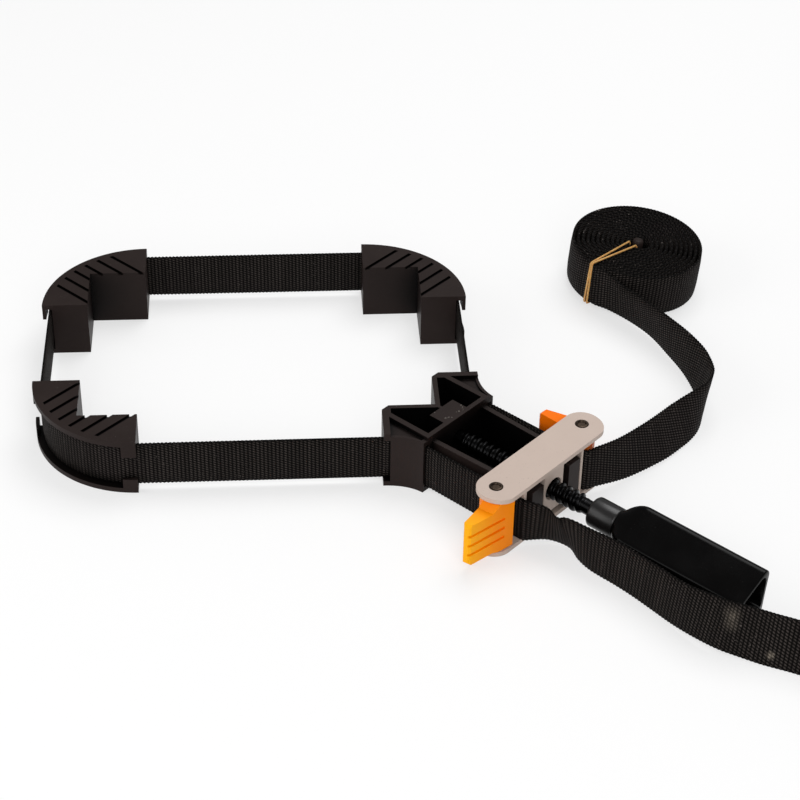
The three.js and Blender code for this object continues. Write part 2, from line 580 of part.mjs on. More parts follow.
function handleGrip() {
  const [front, rear] = [GRIP_FRONT, GRIP_REAR];
  const along = (shape, from, to) => (
    extrude(shape, from, to, 6).rotateY(Math.PI / 2).translate(0, 0, AXIS_HEIGHT));
  const prism = along(gripSection(GRIP_SIDE), front, rear);
  const hollow = along(gripSection(GRIP_SIDE - 2 * Math.sqrt(3) * GRIP_WALL), front + GRIP_FLOOR, rear + 1);
  const neck = COLLAR_DIAMETER / 2;
  const full = GRIP_SIDE / Math.sqrt(3);
  const nose = turned([
    [0, front], [neck, front], [neck + (full - neck) * 0.6, front + GRIP_TAPER * 0.35],
    [full, front + GRIP_TAPER], [full, rear + 1], [0, rear + 1],
  ], 48);
  return geometryOf(cut(solidOf(prism).intersect(solidOf(nose)), hollow));
}

// Cam lever about its pin at the origin, closed; side is 1 at the rear of the clamp and -1 at the front.
// Both are the same moulding: the rear one is turned over.
function camLever(side) {
  const place = ([a, b]) => [-a, side * b];
  const low = CARRIAGE_PLATE + 2 * SEAT_GAP;
  const high = CARRIAGE_HEIGHT - CARRIAGE_PLATE - 2 * SEAT_GAP;
  const tip = [[TAB_TIP - 0.8, TAB_TIP_OUTER], [TAB_TIP, TAB_TIP_OUTER - 1], [TAB_TIP, TAB_TIP_INNER + 1],
    [TAB_TIP - 1.2, TAB_TIP_INNER]];
  const arm = outline([HUB_BACK, HUB_CORNER, ...tip, TAB_ROOT_INNER, CAM_CENTRE].map(place));
  const plan = join(extrude(arm, low, high), post(CAM_RADIUS, low, high, place(CAM_CENTRE)));

  const [slopeFrom, slopeTo] = TAB_SHOULDER;
  const [foot, drop] = side > 0 ? [TAB_DROP, TAB_FOOT] : [TAB_FOOT, TAB_DROP];
  const [tabLow, tabHigh] = [low + foot, high - drop];
  const profile = outline([
    [-slopeFrom - TAB_TIP, low], [slopeFrom, low], [slopeTo, tabLow],
    [TAB_TIP + 1 - TAB_CORNER, tabLow], [TAB_TIP + 1, tabLow + TAB_CORNER],
    [TAB_TIP + 1, tabHigh - TAB_CORNER], [TAB_TIP + 1 - TAB_CORNER, tabHigh],
    [slopeTo, tabHigh], [slopeFrom, high], [-slopeFrom - TAB_TIP, high],
  ].map(([a, z]) => [-a, z]));
  const silhouette = extrude(profile, -TAB_TIP, TAB_TIP).rotateX(Math.PI / 2);

  const slope = (TAB_TIP_OUTER - HUB_CORNER[1]) / (TAB_TIP - 0.8 - HUB_CORNER[0]);
  const [from, to] = LEVER_GROOVE_SPAN;
  const faceAt = (a) => place([a, HUB_CORNER[1] + slope * (a - HUB_CORNER[0])]);
  const [mid, end] = [faceAt((from + to) / 2), faceAt(to)];
  const angle = Math.atan2(end[1] - mid[1], end[0] - mid[0]);
  const grooves = [...Array(LEVER_GROOVES).keys()].map((k) => {
    const height = (tabLow + tabHigh) / 2 + (k - (LEVER_GROOVES - 1) / 2) * LEVER_GROOVE_PITCH;
    const bar = new THREE.BoxGeometry(to - from, 2 * LEVER_GROOVE_DEPTH, LEVER_GROOVE_WIDTH);
    return bar.rotateZ(angle).translate(mid[0], mid[1], height);
  });
  const bore = post(PIN_DIAMETER / 2 + SEAT_GAP, low - 1, high + 1);
  return geometryOf(cut(plan.intersect(solidOf(silhouette)), bore, ...grooves));
}

function pivotPin() {
  const [radius, chamfer] = [PIN_DIAMETER / 2, 0.5];
  const [low, high] = [SEAT_GAP / 2, CARRIAGE_HEIGHT + PIN_STAND];
  const geometry = new THREE.LatheGeometry(vectors([
    [0, low], [radius - chamfer, low], [radius, low + chamfer],
    [radius, high - chamfer], [radius - chamfer, high], [0, high],
  ]), 24);
  return geometry.rotateX(Math.PI / 2);
}

// A tail as a smooth strip through its points; the lower edge follows the points and the lean turns with them
function tailFrames(points) {
  const foot = new THREE.CatmullRomCurve3(points.map(([x, y, z]) => new THREE.Vector3(x, y, z)));
  const leans = new THREE.CatmullRomCurve3(points.map((point, k) => new THREE.Vector3(k, point[3], 0)));
  const steps = (points.length - 1) * TAIL_STEPS_PER_POINT;
  return [...Array(steps + 1).keys()].map((k) => {
    const run = foot.getTangent(k / steps);
    const left = new THREE.Vector3().crossVectors(UP, run).normalize();
    const lean = leans.getPoint(k / steps).y * DEG;
    const across = UP.clone().multiplyScalar(Math.cos(lean)).addScaledVector(left, Math.sin(lean));
    return { foot: foot.getPoint(k / steps), across };
  });
}

const coilRadius = (turns) => COIL_RADIUS - COIL_PITCH * turns;

function coilPoint(turns) {
  const angle = COIL_START * DEG - 2 * Math.PI * turns;
  const radius = coilRadius(turns);
  return [COIL_CENTRE[0] + radius * Math.cos(angle), COIL_CENTRE[1] + radius * Math.sin(angle)];
}

function coilFrames() {
  const steps = Math.round(COIL_TURNS * COIL_STEPS);
  return [...Array(steps + 1).keys()].map((k) => upright(...coilPoint((COIL_TURNS * k) / steps), COIL_LIFT));
}

// Least gap between one turn of the coil and another, on the faceted middle line
function leastGap(frames) {
  let least = Infinity;
  for (let i = 0; i < frames.length; i++) {
    for (let j = i + Math.round(COIL_STEPS / 2); j < frames.length; j++) {
      least = Math.min(least, frames[i].foot.distanceTo(frames[j].foot));
    }
  }
  return least - BAND_THICK;
}

// Rubber tie: a closed loop through the middle of the coil and round its outside
function coilTie() {
  const turnsOut = (COIL_START - TIE_ANGLE) / 360;
  const turnsIn = turnsOut + Math.floor(COIL_TURNS - turnsOut);
  const clear = BAND_THICK / 2 + SEAT_GAP;
  const [inner, outer] = [coilRadius(turnsIn) - clear, coilRadius(turnsOut) + clear];
  const [low, high] = [COIL_LIFT - SEAT_GAP, COIL_LIFT + BAND_WIDTH + SEAT_GAP];
  const loop = (grow) => [[inner - grow, low - grow], [outer + grow, low - grow], [outer + grow, high + grow],
    [inner - grow, high + grow]];
  const shape = outline(loop(TIE_THICK));
  shape.holes.push(new THREE.Path(vectors(loop(0))));
  const tie = extrude(shape, -TIE_WIDTH / 2, TIE_WIDTH / 2).rotateX(Math.PI / 2);
  return tie.rotateZ(TIE_ANGLE * DEG).translate(...COIL_CENTRE, 0);
}

// The clamp itself, and the free band that lies beside it
const clamp = new THREE.Group();
const freeBand = new THREE.Group();
const axis = new THREE.Group();
axis.rotation.z = AXIS_TURN;
clamp.add(axis);

clamp.add(piece('fixed_jaw', fixedJaw(), MATERIALS.moulding));

const corners = [
  ['front_left', -LOOP_WIDTH, 0, 0], ['rear_left', -LOOP_WIDTH, LOOP_DEPTH, -90],
  ['rear_right', 0, LOOP_DEPTH, 180],
];
for (const [name, x, y, turn] of corners) {
  const corner = new THREE.Group();
  corner.position.set(x, y, 0);
  corner.rotation.z = turn * DEG;
  corner.add(piece(`${name}_jaw`, looseJaw(), MATERIALS.moulding));
  corner.add(piece(`band_${name}_wrap`, jawWrap(), MATERIALS.webbing));
  clamp.add(corner);
}

// Straight runs between the corners, each a little short of what it meets
const armEnd = JAW_ARM + SEAT_GAP;
const passEnd = PASS_START - SEAT_GAP;
const [left, rear] = [-LOOP_WIDTH - BAND_OFFSET, LOOP_DEPTH + BAND_OFFSET];
const runs = {
  band_front_run: [[armEnd - LOOP_WIDTH, -BAND_OFFSET], [passEnd, -BAND_OFFSET]],
  band_left_run: [[left, armEnd], [left, LOOP_DEPTH - armEnd]],
  band_rear_run: [[armEnd - LOOP_WIDTH, rear], [-armEnd, rear]],
  band_right_run: [[BAND_OFFSET, -passEnd], [BAND_OFFSET, LOOP_DEPTH - armEnd]],
};
for (const [name, ends] of Object.entries(runs)) {
  clamp.add(piece(name, straightBand(...ends), MATERIALS.webbing));
}

// Bends inside the wings, then the runs beside the rails
const rearCentre = acrossAxis(PASS_CENTRE);
const frontPass = bandArc(PASS_CENTRE, PASS_RADIUS, Math.PI / 2, Math.PI / 4, 8);
const rearPass = bandArc(rearCentre, PASS_RADIUS, Math.PI, 1.25 * Math.PI, 8);
clamp.add(piece('band_front_pass', frontPass, MATERIALS.webbing));
clamp.add(piece('band_rear_pass', rearPass, MATERIALS.webbing));
for (const [name, offset, end] of [
  ['band_front_side', -SIDE_OFFSET, FRONT_TAIL_START], ['band_rear_side', SIDE_OFFSET, REAR_TAIL_START],
]) {
  const run = straightBand([PASS_EXIT_U + SEAT_GAP, offset], [end - SEAT_GAP, offset]);
  axis.add(piece(name, run, MATERIALS.webbing));
}

axis.add(piece('carriage_bottom_plate', carriagePlate(0, CARRIAGE_PLATE), MATERIALS.paintedMetal));
axis.add(piece('carriage_top_plate', carriagePlate(CARRIAGE_HEIGHT - CARRIAGE_PLATE, CARRIAGE_HEIGHT),
  MATERIALS.paintedMetal));
axis.add(piece('carriage_web', carriageWeb(), MATERIALS.paintedMetal));
axis.add(piece('spindle_nut', spindleNut(), MATERIALS.screwSteel));
axis.add(piece('spindle_screw', spindleScrew(), MATERIALS.screwSteel));
const padFront = BORE_BOTTOM + SEAT_GAP;
axis.add(piece('thrust_pad', rod(TIP_DIAMETER / 2, padFront, padFront + PAD_THICK), MATERIALS.steel));
axis.add(piece('handle_collar', handleCollar(), MATERIALS.gripPlastic));
axis.add(piece('handle_grip', handleGrip(), MATERIALS.gripPlastic));

for (const [name, side, open] of [['front', -1, FRONT_LEVER_OPEN], ['rear', 1, 0]]) {
  const pivot = new THREE.Group();
  pivot.position.set(PIN_U, side * PIN_OFFSET, 0);
  pivot.rotation.z = open * DEG;
  pivot.add(piece(`${name}_cam_lever`, camLever(side), MATERIALS.leverPlastic));
  pivot.add(piece(`${name}_pivot_pin`, pivotPin(), MATERIALS.steel));
  axis.add(pivot);
}

// Each tail starts in line with the run that it continues
const lead = (u, side) => [[...fromAxis(u, side * SIDE_OFFSET), BAND_LIFT, 0],
  [...fromAxis(u + BAND_THICK / 2, side * SIDE_OFFSET), BAND_LIFT, 0]];
const outside = (u, clear, z, lean) => [...fromAxis(u, -GRIP_REACH - clear), z, lean];
const frontRoute = [...lead(FRONT_TAIL_START, -1),
  ...FRONT_TAIL.map(([u, v, z, lean]) => [...fromAxis(u, -v), z, lean]),
  ...HANDLE_TAIL.map(([share, ...rest]) => outside(GRIP_FRONT + share * GRIP_LENGTH, ...rest)),
  ...LOOSE_TAIL.map(([past, ...rest]) => outside(GRIP_REAR + past, ...rest))];
const rearRoute = [...lead(REAR_TAIL_START, 1), ...REAR_TAIL,
  ...[COIL_LEAD, SEAT_GAP].map((short) => (
    [...coilPoint(-short / (2 * Math.PI * COIL_RADIUS)), COIL_LIFT, 0]))];
const coil = coilFrames();
freeBand.add(piece('front_tail', ribbon(tailFrames(frontRoute)), MATERIALS.webbing));
freeBand.add(piece('rear_tail', ribbon(tailFrames(rearRoute)), MATERIALS.webbing));
freeBand.add(piece('tail_coil', ribbon(coil), MATERIALS.webbing));
freeBand.add(piece('coil_tie', coilTie(), MATERIALS.rubber));
console.log(`least gap between turns of the coil: ${leastGap(coil).toFixed(2)} mm`);

// Origin: middle of the clamp's footprint, on the surface that it stands on
const whole = new THREE.Group();
whole.add(clamp, freeBand);
whole.updateMatrixWorld(true);
const reach = new THREE.Box3().setFromObject(clamp, true);
const middle = reach.getCenter(new THREE.Vector3());
whole.position.set(-middle.x, -middle.y, -reach.min.z);

export default whole;
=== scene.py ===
import math
from functools import partial

import bmesh
import bpy
from mathutils import Matrix, Vector


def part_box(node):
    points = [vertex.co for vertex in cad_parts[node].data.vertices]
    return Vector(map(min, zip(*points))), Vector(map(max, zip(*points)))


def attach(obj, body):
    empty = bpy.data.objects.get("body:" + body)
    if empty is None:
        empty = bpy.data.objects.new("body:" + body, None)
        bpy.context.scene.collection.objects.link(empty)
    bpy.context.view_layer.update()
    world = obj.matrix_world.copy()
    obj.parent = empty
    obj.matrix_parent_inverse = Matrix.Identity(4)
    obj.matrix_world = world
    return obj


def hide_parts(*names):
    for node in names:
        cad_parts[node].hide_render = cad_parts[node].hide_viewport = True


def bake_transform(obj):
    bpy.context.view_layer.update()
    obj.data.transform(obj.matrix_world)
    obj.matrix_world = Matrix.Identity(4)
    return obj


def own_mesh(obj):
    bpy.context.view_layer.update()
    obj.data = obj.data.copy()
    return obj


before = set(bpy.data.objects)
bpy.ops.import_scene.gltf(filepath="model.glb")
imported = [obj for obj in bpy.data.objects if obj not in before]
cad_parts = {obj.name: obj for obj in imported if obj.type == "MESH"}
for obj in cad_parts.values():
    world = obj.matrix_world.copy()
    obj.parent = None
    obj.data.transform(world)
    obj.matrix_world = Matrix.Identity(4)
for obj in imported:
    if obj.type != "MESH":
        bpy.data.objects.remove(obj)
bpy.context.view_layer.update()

# Lengths are in millimetres from the point of the fixed jaw's notch until a point is placed.
# x and y run along the sides of the loop, u from the notch to the handle, and w to the rear of that axis.
jawLow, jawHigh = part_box("fixed_jaw")
wingLength = 27
notchPoint = Vector((jawLow.x + wingLength / 1000, jawHigh.y - wingLength / 1000, 0))
rootTwo = math.sqrt(2)
upward = Vector((0, 0, 1))
alongAxis = Vector((1, -1, 0)) / rootTwo
rearOfAxis = Vector((1, 1, 0)) / rootTwo
pivot = {"u": 67, "w": 33.3}  # the lever pins, one on each side of the axis


def loopPoint(x, y, z):
    return notchPoint + Vector((x, y, z)) / 1000


def axisPoint(u, w, z):
    return loopPoint((u + w) / rootTwo, (w - u) / rootTwo, z)


def linked(name, data):
    obj = bpy.data.objects.new(name, data)
    bpy.context.scene.collection.objects.link(obj)
    return obj


print("stage: camera, lights and floor")

camera = {
    "focal": 2174.21,  # pixels, as the image is
    "image": 800,
    "azimuth": -4.12,
    "elevation": 36.74,
    "roll": 1.04,
    "distance": 1.14826,
    "target": (-14.23, 47.64, 0),
    "sensor": 36,
    "clip": 0.02,
}
azimuth, elevation, roll = (math.radians(camera[key]) for key in ("azimuth", "elevation", "roll"))
backward = Vector((
    math.sin(azimuth) * math.cos(elevation),
    -math.cos(azimuth) * math.cos(elevation),
    math.sin(elevation),
))
level = upward.cross(backward).normalized()
steep = backward.cross(level)
imageRight = math.cos(roll) * level + math.sin(roll) * steep
imageUp = math.cos(roll) * steep - math.sin(roll) * level
cameraTurn = Matrix((imageRight, imageUp, backward)).transposed().to_4x4()
cameraPlace = loopPoint(*camera["target"]) + backward * camera["distance"]
cameraData = bpy.data.cameras.new("camera")
cameraData.sensor_width = camera["sensor"]
cameraData.lens = camera["focal"] / camera["image"] * camera["sensor"]
cameraData.clip_start = camera["clip"]
cameraObject = linked("camera", cameraData)
cameraObject.matrix_world = Matrix.Translation(cameraPlace) @ cameraTurn
bpy.context.scene.camera = cameraObject
bpy.context.scene.view_settings.view_transform = "Standard"

lamps = {
    "keyLamp": {"place": (0.4, 0.6, 1.4), "size": 1.0, "watts": 12.5},
    "fillLamp": {"place": (-1.1, -0.25, 0.6), "size": 0.9, "watts": 5.0},
    "frontLamp": {"place": (0.1, -1.25, 0.95), "size": 0.9, "watts": 9.5},
}
for name, lamp in lamps.items():
    lampData = bpy.data.lights.new(name, "AREA")
    lampData.energy = lamp["watts"]
    lampData.size = lamp["size"]
    lampObject = linked(name, lampData)
    lampObject.location = lamp["place"]
    lampObject.rotation_euler = (-Vector(lamp["place"])).to_track_quat("-Z", "Y").to_euler()

studio = {"color": (1, 1, 1, 1), "strength": 0.30}
world = bpy.data.worlds.new("studio")
world.use_nodes = True
sky = world.node_tree.nodes["Background"].inputs
sky["Color"].default_value = studio["color"]
sky["Strength"].default_value = studio["strength"]
bpy.context.scene.world = world


# Node helpers for shader and geometry trees: a socket takes a link or a plain value
def feed(tree, socket, value):
    if isinstance(value, bpy.types.NodeSocket):
        tree.links.new(value, socket)
    elif value is not None:
        socket.default_value = value


def wired(tree, kind, sockets, **settings):
    made = tree.nodes.new(kind)
    for key, value in settings.items():
        setattr(made, key, value)
    for key, value in sockets.items():
        feed(tree, made.inputs[key], value)
    return made.outputs


def calc(tree, operation, *values):
    return wired(tree, "ShaderNodeMath", dict(enumerate(values)), operation=operation)[0]


def calcVector(tree, operation, *values):
    made = wired(tree, "ShaderNodeVectorMath", dict(enumerate(values)), operation=operation)
    return made["Value" if operation in ("DOT_PRODUCT", "DISTANCE") else "Vector"]


def scaled(tree, vector, factor):
    sockets = {"Vector": vector, "Scale": factor}
    return wired(tree, "ShaderNodeVectorMath", sockets, operation="SCALE")["Vector"]


def ranged(tree, value, low, high, newLow=0.0, newHigh=1.0):
    sockets = {"Value": value, "From Min": low, "From Max": high, "To Min": newLow, "To Max": newHigh}
    return wired(tree, "ShaderNodeMapRange", sockets)["Result"]


def blended(tree, factor, first, second):
    return wired(tree, "ShaderNodeMix", {0: factor, 6: first, 7: second}, data_type="RGBA")[2]


def objectPlace(tree):
    return wired(tree, "ShaderNodeTexCoord", {})["Object"]


def noise(tree, scale, detail=3.0, roughness=0.55):
    sockets = {"Vector": objectPlace(tree), "Scale": scale, "Detail": detail, "Roughness": roughness}
    return wired(tree, "ShaderNodeTexNoise", sockets)["Fac"]


def newTree(name, kind, inputs, outputs):
    tree = bpy.data.node_groups.new(name, kind)
    identifiers = {}
    for label, socketKind, value in inputs:
        made = tree.interface.new_socket(label, in_out="INPUT", socket_type="NodeSocket" + socketKind)
        if value is not None:
            made.default_value = value
        identifiers[label] = made.identifier
    for label, socketKind in outputs:
        tree.interface.new_socket(label, in_out="OUTPUT", socket_type="NodeSocket" + socketKind)
    return tree, wired(tree, "NodeGroupInput", {}), identifiers


# Shared effects: moulded grain with handling marks, and dust that settles on upward faces
grainTree, grainGiven = newTree(
    "mouldedGrain",
    "ShaderNodeTree",
    [("Scale", "Float", 900.0), ("Depth", "Float", 0.00004)],
    [("Normal", "Vector"), ("Mottle", "Float")],
)[:2]
grainHeight = noise(grainTree, grainGiven["Scale"], detail=4.0)
grainBump = wired(grainTree, "ShaderNodeBump", {"Height": grainHeight, "Distance": grainGiven["Depth"]})
grainMottle = noise(grainTree, 45.0, detail=5.0, roughness=0.6)
wired(grainTree, "NodeGroupOutput", {"Normal": grainBump["Normal"], "Mottle": grainMottle})

dustTree, dustGiven = newTree(
    "settledDust",
    "ShaderNodeTree",
    [("Amount", "Float", 0.3), ("Speck Scale", "Float", 1400.0)],
    [("Dust", "Float")],
)[:2]
dustNormal = wired(dustTree, "ShaderNodeNewGeometry", {})["Normal"]
dustUp = ranged(dustTree, calcVector(dustTree, "DOT_PRODUCT", dustNormal, (0, 0, 1)), 0.2, 1.0, 0.35, 1.0)
dustSpeck = ranged(dustTree, noise(dustTree, dustGiven["Speck Scale"], detail=1.0), 0.70, 0.78)
dustPatch = ranged(dustTree, noise(dustTree, 60.0), 0.42, 0.75)
dustAll = calc(dustTree, "MULTIPLY", calc(dustTree, "MULTIPLY", dustUp, dustSpeck), dustPatch)
wired(dustTree, "NodeGroupOutput", {"Dust": calc(dustTree, "MULTIPLY", dustAll, dustGiven["Amount"])})


def newMaterial(name, **sockets):
    made = bpy.data.materials.new(name)
    made.use_nodes = True
    shader = made.node_tree.nodes["Principled BSDF"]
    for key, value in sockets.items():
        shader.inputs[key.replace("_", " ")].default_value = value
    return made, made.node_tree, shader


def useGroup(tree, group, **values):
    sockets = {key.replace("_", " "): value for key, value in values.items()}
    return wired(tree, "ShaderNodeGroup", sockets, node_tree=group)


plastics = {
    "moulding": {
        "dark": (0.0185, 0.0123, 0.0109, 1), "light": (0.0235, 0.016, 0.0144, 1), "roughness": 0.42,
        "shine": 0.09, "grain": 1500.0, "depth": 0.00003, "dust": 0.5, "dustColor": (0.14, 0.12, 0.11, 1),
    },
    "leverPlastic": {
        "dark": (0.98, 0.245, 0.0005, 1), "light": (1.0, 0.285, 0.001, 1), "roughness": 0.42,
        "shine": 0.12, "grain": 1100.0, "depth": 0.00002, "dust": 0.06, "dustColor": (0.98, 0.6, 0.2, 1),
    },
    "gripPlastic": {
        "dark": (0.0008, 0.0007, 0.0007, 1), "light": (0.0014, 0.0012, 0.0012, 1), "roughness": 0.17,
        "shine": 0.1, "grain": 700.0, "depth": 0.00001, "dust": 0.2, "dustColor": (0.08, 0.075, 0.07, 1),
    },
    "collarPlastic": {
        "dark": (0.006, 0.0055, 0.0055, 1), "light": (0.009, 0.008, 0.008, 1), "roughness": 0.3,
        "shine": 0.45, "grain": 900.0, "depth": 0.000015, "dust": 0.2, "dustColor": (0.1, 0.09, 0.085, 1),
    },
    # Paler colour of the small domes on the boss: painted highlight
    "bossDotHighlight": {
        "dark": (0.07, 0.06, 0.054, 1), "light": (0.13, 0.112, 0.1, 1), "roughness": 0.4,
        "shine": 0.2, "grain": 1500.0, "depth": 0.00002, "dust": 0.5, "dustColor": (0.2, 0.18, 0.16, 1),
    },
    "paintedMetal": {
        "dark": (0.535, 0.43, 0.37, 1), "light": (0.565, 0.458, 0.395, 1), "roughness": 0.42,
        "shine": 0.2, "grain": 800.0, "depth": 0.00002, "dust": 0.9, "dustColor": (0.16, 0.13, 0.11, 1),
    },
}


def plasticMaterial(name):
    look = plastics[name]
    made, tree, shader = newMaterial(name, Roughness=look["roughness"], Specular_IOR_Level=look["shine"])
    grain = useGroup(tree, grainTree, Scale=look["grain"], Depth=look["depth"])
    dust = useGroup(tree, dustTree, Amount=look["dust"])
    body = blended(tree, ranged(tree, grain["Mottle"], 0.3, 0.7), look["dark"], look["light"])
    feed(tree, shader.inputs["Base Color"], blended(tree, dust["Dust"], body, look["dustColor"]))
    smoother, rougher = look["roughness"] - 0.06, look["roughness"] + 0.08
    feed(tree, shader.inputs["Roughness"], ranged(tree, grain["Mottle"], 0.25, 0.75, smoother, rougher))
    feed(tree, shader.inputs["Normal"], grain["Normal"])
    return made


moulding, leverPlastic, gripPlastic, collarPlastic, bossDotHighlight, paintedMetal = map(plasticMaterial, plastics)

# Painted shade: ambient occlusion darkens the mouldings' colour to near black in their recesses
recessShade = {"distance": 0.05, "closed": 0.5, "open": 0.95, "color": (0.001, 0.0008, 0.0008, 1)}
mouldTree = moulding.node_tree
mouldColor = mouldTree.nodes["Principled BSDF"].inputs["Base Color"]
mouldBody = mouldColor.links[0].from_socket
mouldOcclusion = wired(
    mouldTree, "ShaderNodeAmbientOcclusion", {"Distance": recessShade["distance"]}, only_local=True, samples=8
)
openness = ranged(mouldTree, mouldOcclusion["AO"], recessShade["closed"], recessShade["open"])
feed(mouldTree, mouldColor, blended(mouldTree, openness, recessShade["color"], mouldBody))

# Painted light: the front lever's orange is painted yellower away from its pin, as if brightly lit.
# Beyond its end, on the rear lever, a deeper orange is painted shade.
leverPaintedLight = {
    "starts": 0.009, "full": 0.03, "ends": 0.045, "beyond": 0.05, "shadeShare": 0.6,
    "paintedLit": (1.0, 0.48, 0.002, 1), "paintedShade": (0.98, 0.13, 0.001, 1),
}
leverTree = leverPlastic.node_tree
leverColor = leverTree.nodes["Principled BSDF"].inputs["Base Color"]
leverBody = leverColor.links[0].from_socket
leverFlat = calcVector(leverTree, "MULTIPLY", objectPlace(leverTree), (1, 1, 0))
leverPin = tuple(axisPoint(pivot["u"], -pivot["w"], 0))
leverRange = partial(ranged, leverTree, calcVector(leverTree, "DISTANCE", leverFlat, leverPin))
leverRise = leverRange(leverPaintedLight["starts"], leverPaintedLight["full"])
leverLitShare = calc(leverTree, "MULTIPLY", leverRise, leverRange(leverPaintedLight["beyond"], leverPaintedLight["ends"]))
leverFar = leverRange(leverPaintedLight["ends"], leverPaintedLight["beyond"])
leverShadeShare = calc(leverTree, "MULTIPLY", leverFar, leverPaintedLight["shadeShare"])
leverWithShade = blended(leverTree, leverShadeShare, leverBody, leverPaintedLight["paintedShade"])
feed(leverTree, leverColor, blended(leverTree, leverLitShare, leverWithShade, leverPaintedLight["paintedLit"]))

# Bare metal with fine marks and darker stains
metals = {
    "pinSteel": {"color": (0.062, 0.044, 0.032), "roughness": 0.34, "marks": 1800.0},
    "blackSteel": {"color": (0.012, 0.012, 0.0125), "roughness": 0.24, "marks": 1500.0},
}
metalWear = {"stainScale": 160.0, "stainShade": 0.55, "markDepth": 0.00002}


def metalMaterial(name):
    look = metals[name]
    roughness = look["roughness"]
    made, tree, shader = newMaterial(name, Roughness=roughness, Metallic=1.0)
    mark = noise(tree, look["marks"], detail=6.0, roughness=0.7)
    stain = ranged(tree, noise(tree, metalWear["stainScale"], detail=4.0), 0.35, 0.7)
    stained = [metalWear["stainShade"] * part for part in look["color"]]
    feed(tree, shader.inputs["Base Color"], blended(tree, stain, (*look["color"], 1), (*stained, 1)))
    feed(tree, shader.inputs["Roughness"], ranged(tree, mark, 0.3, 0.7, roughness - 0.08, roughness + 0.12))
    bump = wired(tree, "ShaderNodeBump", {"Height": mark, "Distance": metalWear["markDepth"]})
    feed(tree, shader.inputs["Normal"], bump["Normal"])
    return made


pinSteel, blackSteel = map(metalMaterial, metals)

rubberLook = {"dark": (0.50, 0.25, 0.06, 1), "light": (0.70, 0.40, 0.13, 1), "grain": 350.0}
rubber, rubberTree, rubberShader = newMaterial(
    "tieRubber", Roughness=0.5, Subsurface_Weight=0.1, Subsurface_Scale=0.002
)
rubberTone = ranged(rubberTree, noise(rubberTree, rubberLook["grain"]), 0.3, 0.7)
rubberBody = blended(rubberTree, rubberTone, rubberLook["dark"], rubberLook["light"])
feed(rubberTree, rubberShader.inputs["Base Color"], rubberBody)

# Webbing: ribs across the band, each a column of small slanted knots. The tree that makes the bands
# stores metres along and across the band in the map, so one weave fits every stretch.
strap = {
    "width": 0.025, "thick": 0.0016, "ribDepth": 0.00012, "foot": 3,
    "edgeDepth": 0.0005, "edgePower": 8.0, "edgeThinning": 0.4, "cuts": 3,
}
weave = {
    "ribPitch": 0.00196, "ribPower": 1.3, "ribFaintest": 0.65, "knotPitch": 0.00148, "knotLow": 0.04,
    "depth": 0.00035, "slant": 0.55, "fuzz": 0.15, "fuzzScale": 2600.0, "tonePower": 1.2,
    "valley": (0.0008, 0.0005, 0.0004, 1), "yarn": (0.064, 0.0535, 0.0485, 1),
    "worn": (0.06, 0.05, 0.046, 1), "wornScale": 38.0, "wornShare": 0.35,
    "edge": (0.0015, 0.0013, 0.0013, 1), "edgeFrom": 0.0115, "edgeTo": 0.0122, "edgeShare": 0.8,
    "dust": (0.30, 0.26, 0.24, 1), "dustAmount": 1.3, "dustSpecks": 950.0,
    "paleColor": (0.30, 0.255, 0.205, 1), "palePower": 1.3, "paleScale": 520.0, "paleGain": 2.2,
}
webbing, weaveTree, weaveShader = newMaterial("webbing", Roughness=0.62, Specular_IOR_Level=0.05)
weaveCalc = partial(calc, weaveTree)
weaveRange = partial(ranged, weaveTree)
weaveBlend = partial(blended, weaveTree)
weaveNoise = partial(noise, weaveTree)
bandMap = wired(weaveTree, "ShaderNodeUVMap", {}, uv_map="UVMap")["UV"]
weaveMap = wired(weaveTree, "ShaderNodeSeparateXYZ", {0: bandMap})
ribCount = weaveCalc("DIVIDE", weaveMap["X"], weave["ribPitch"])
ribNumber = weaveCalc("FLOOR", ribCount)
ribPart = weaveCalc("FRACT", ribCount)
ribCrest = weaveCalc("SINE", weaveCalc("MULTIPLY", ribPart, math.pi))
stagger = weaveCalc("MULTIPLY", weaveCalc("MODULO", ribNumber, 2.0), 0.5)
slant = weaveCalc("MULTIPLY", ribPart, weave["slant"])
knotCount = weaveCalc("DIVIDE", weaveMap["Y"], weave["knotPitch"])
knotPhase = weaveCalc("ADD", knotCount, weaveCalc("ADD", stagger, slant))
knotWave = weaveCalc("SINE", weaveCalc("MULTIPLY", knotPhase, 2 * math.pi))
knot = weaveRange(knotWave, -1.0, 1.0, weave["knotLow"], 1.0)
weaveHeight = weaveCalc("MULTIPLY", weaveCalc("POWER", ribCrest, weave["ribPower"]), knot)
fuzz = weaveCalc("MULTIPLY", weaveNoise(weave["fuzzScale"], detail=2.0), weave["fuzz"])
fuzzyHeight = weaveCalc("ADD", weaveHeight, fuzz)
weaveBump = wired(weaveTree, "ShaderNodeBump", {"Distance": weave["depth"], "Height": fuzzyHeight})
feed(weaveTree, weaveShader.inputs["Normal"], weaveBump["Normal"])
ribShade = wired(weaveTree, "ShaderNodeTexWhiteNoise", {"W": ribNumber}, noise_dimensions="1D")["Value"]
ribTone = weaveRange(ribShade, 0.0, 1.0, weave["ribFaintest"], 1.0)
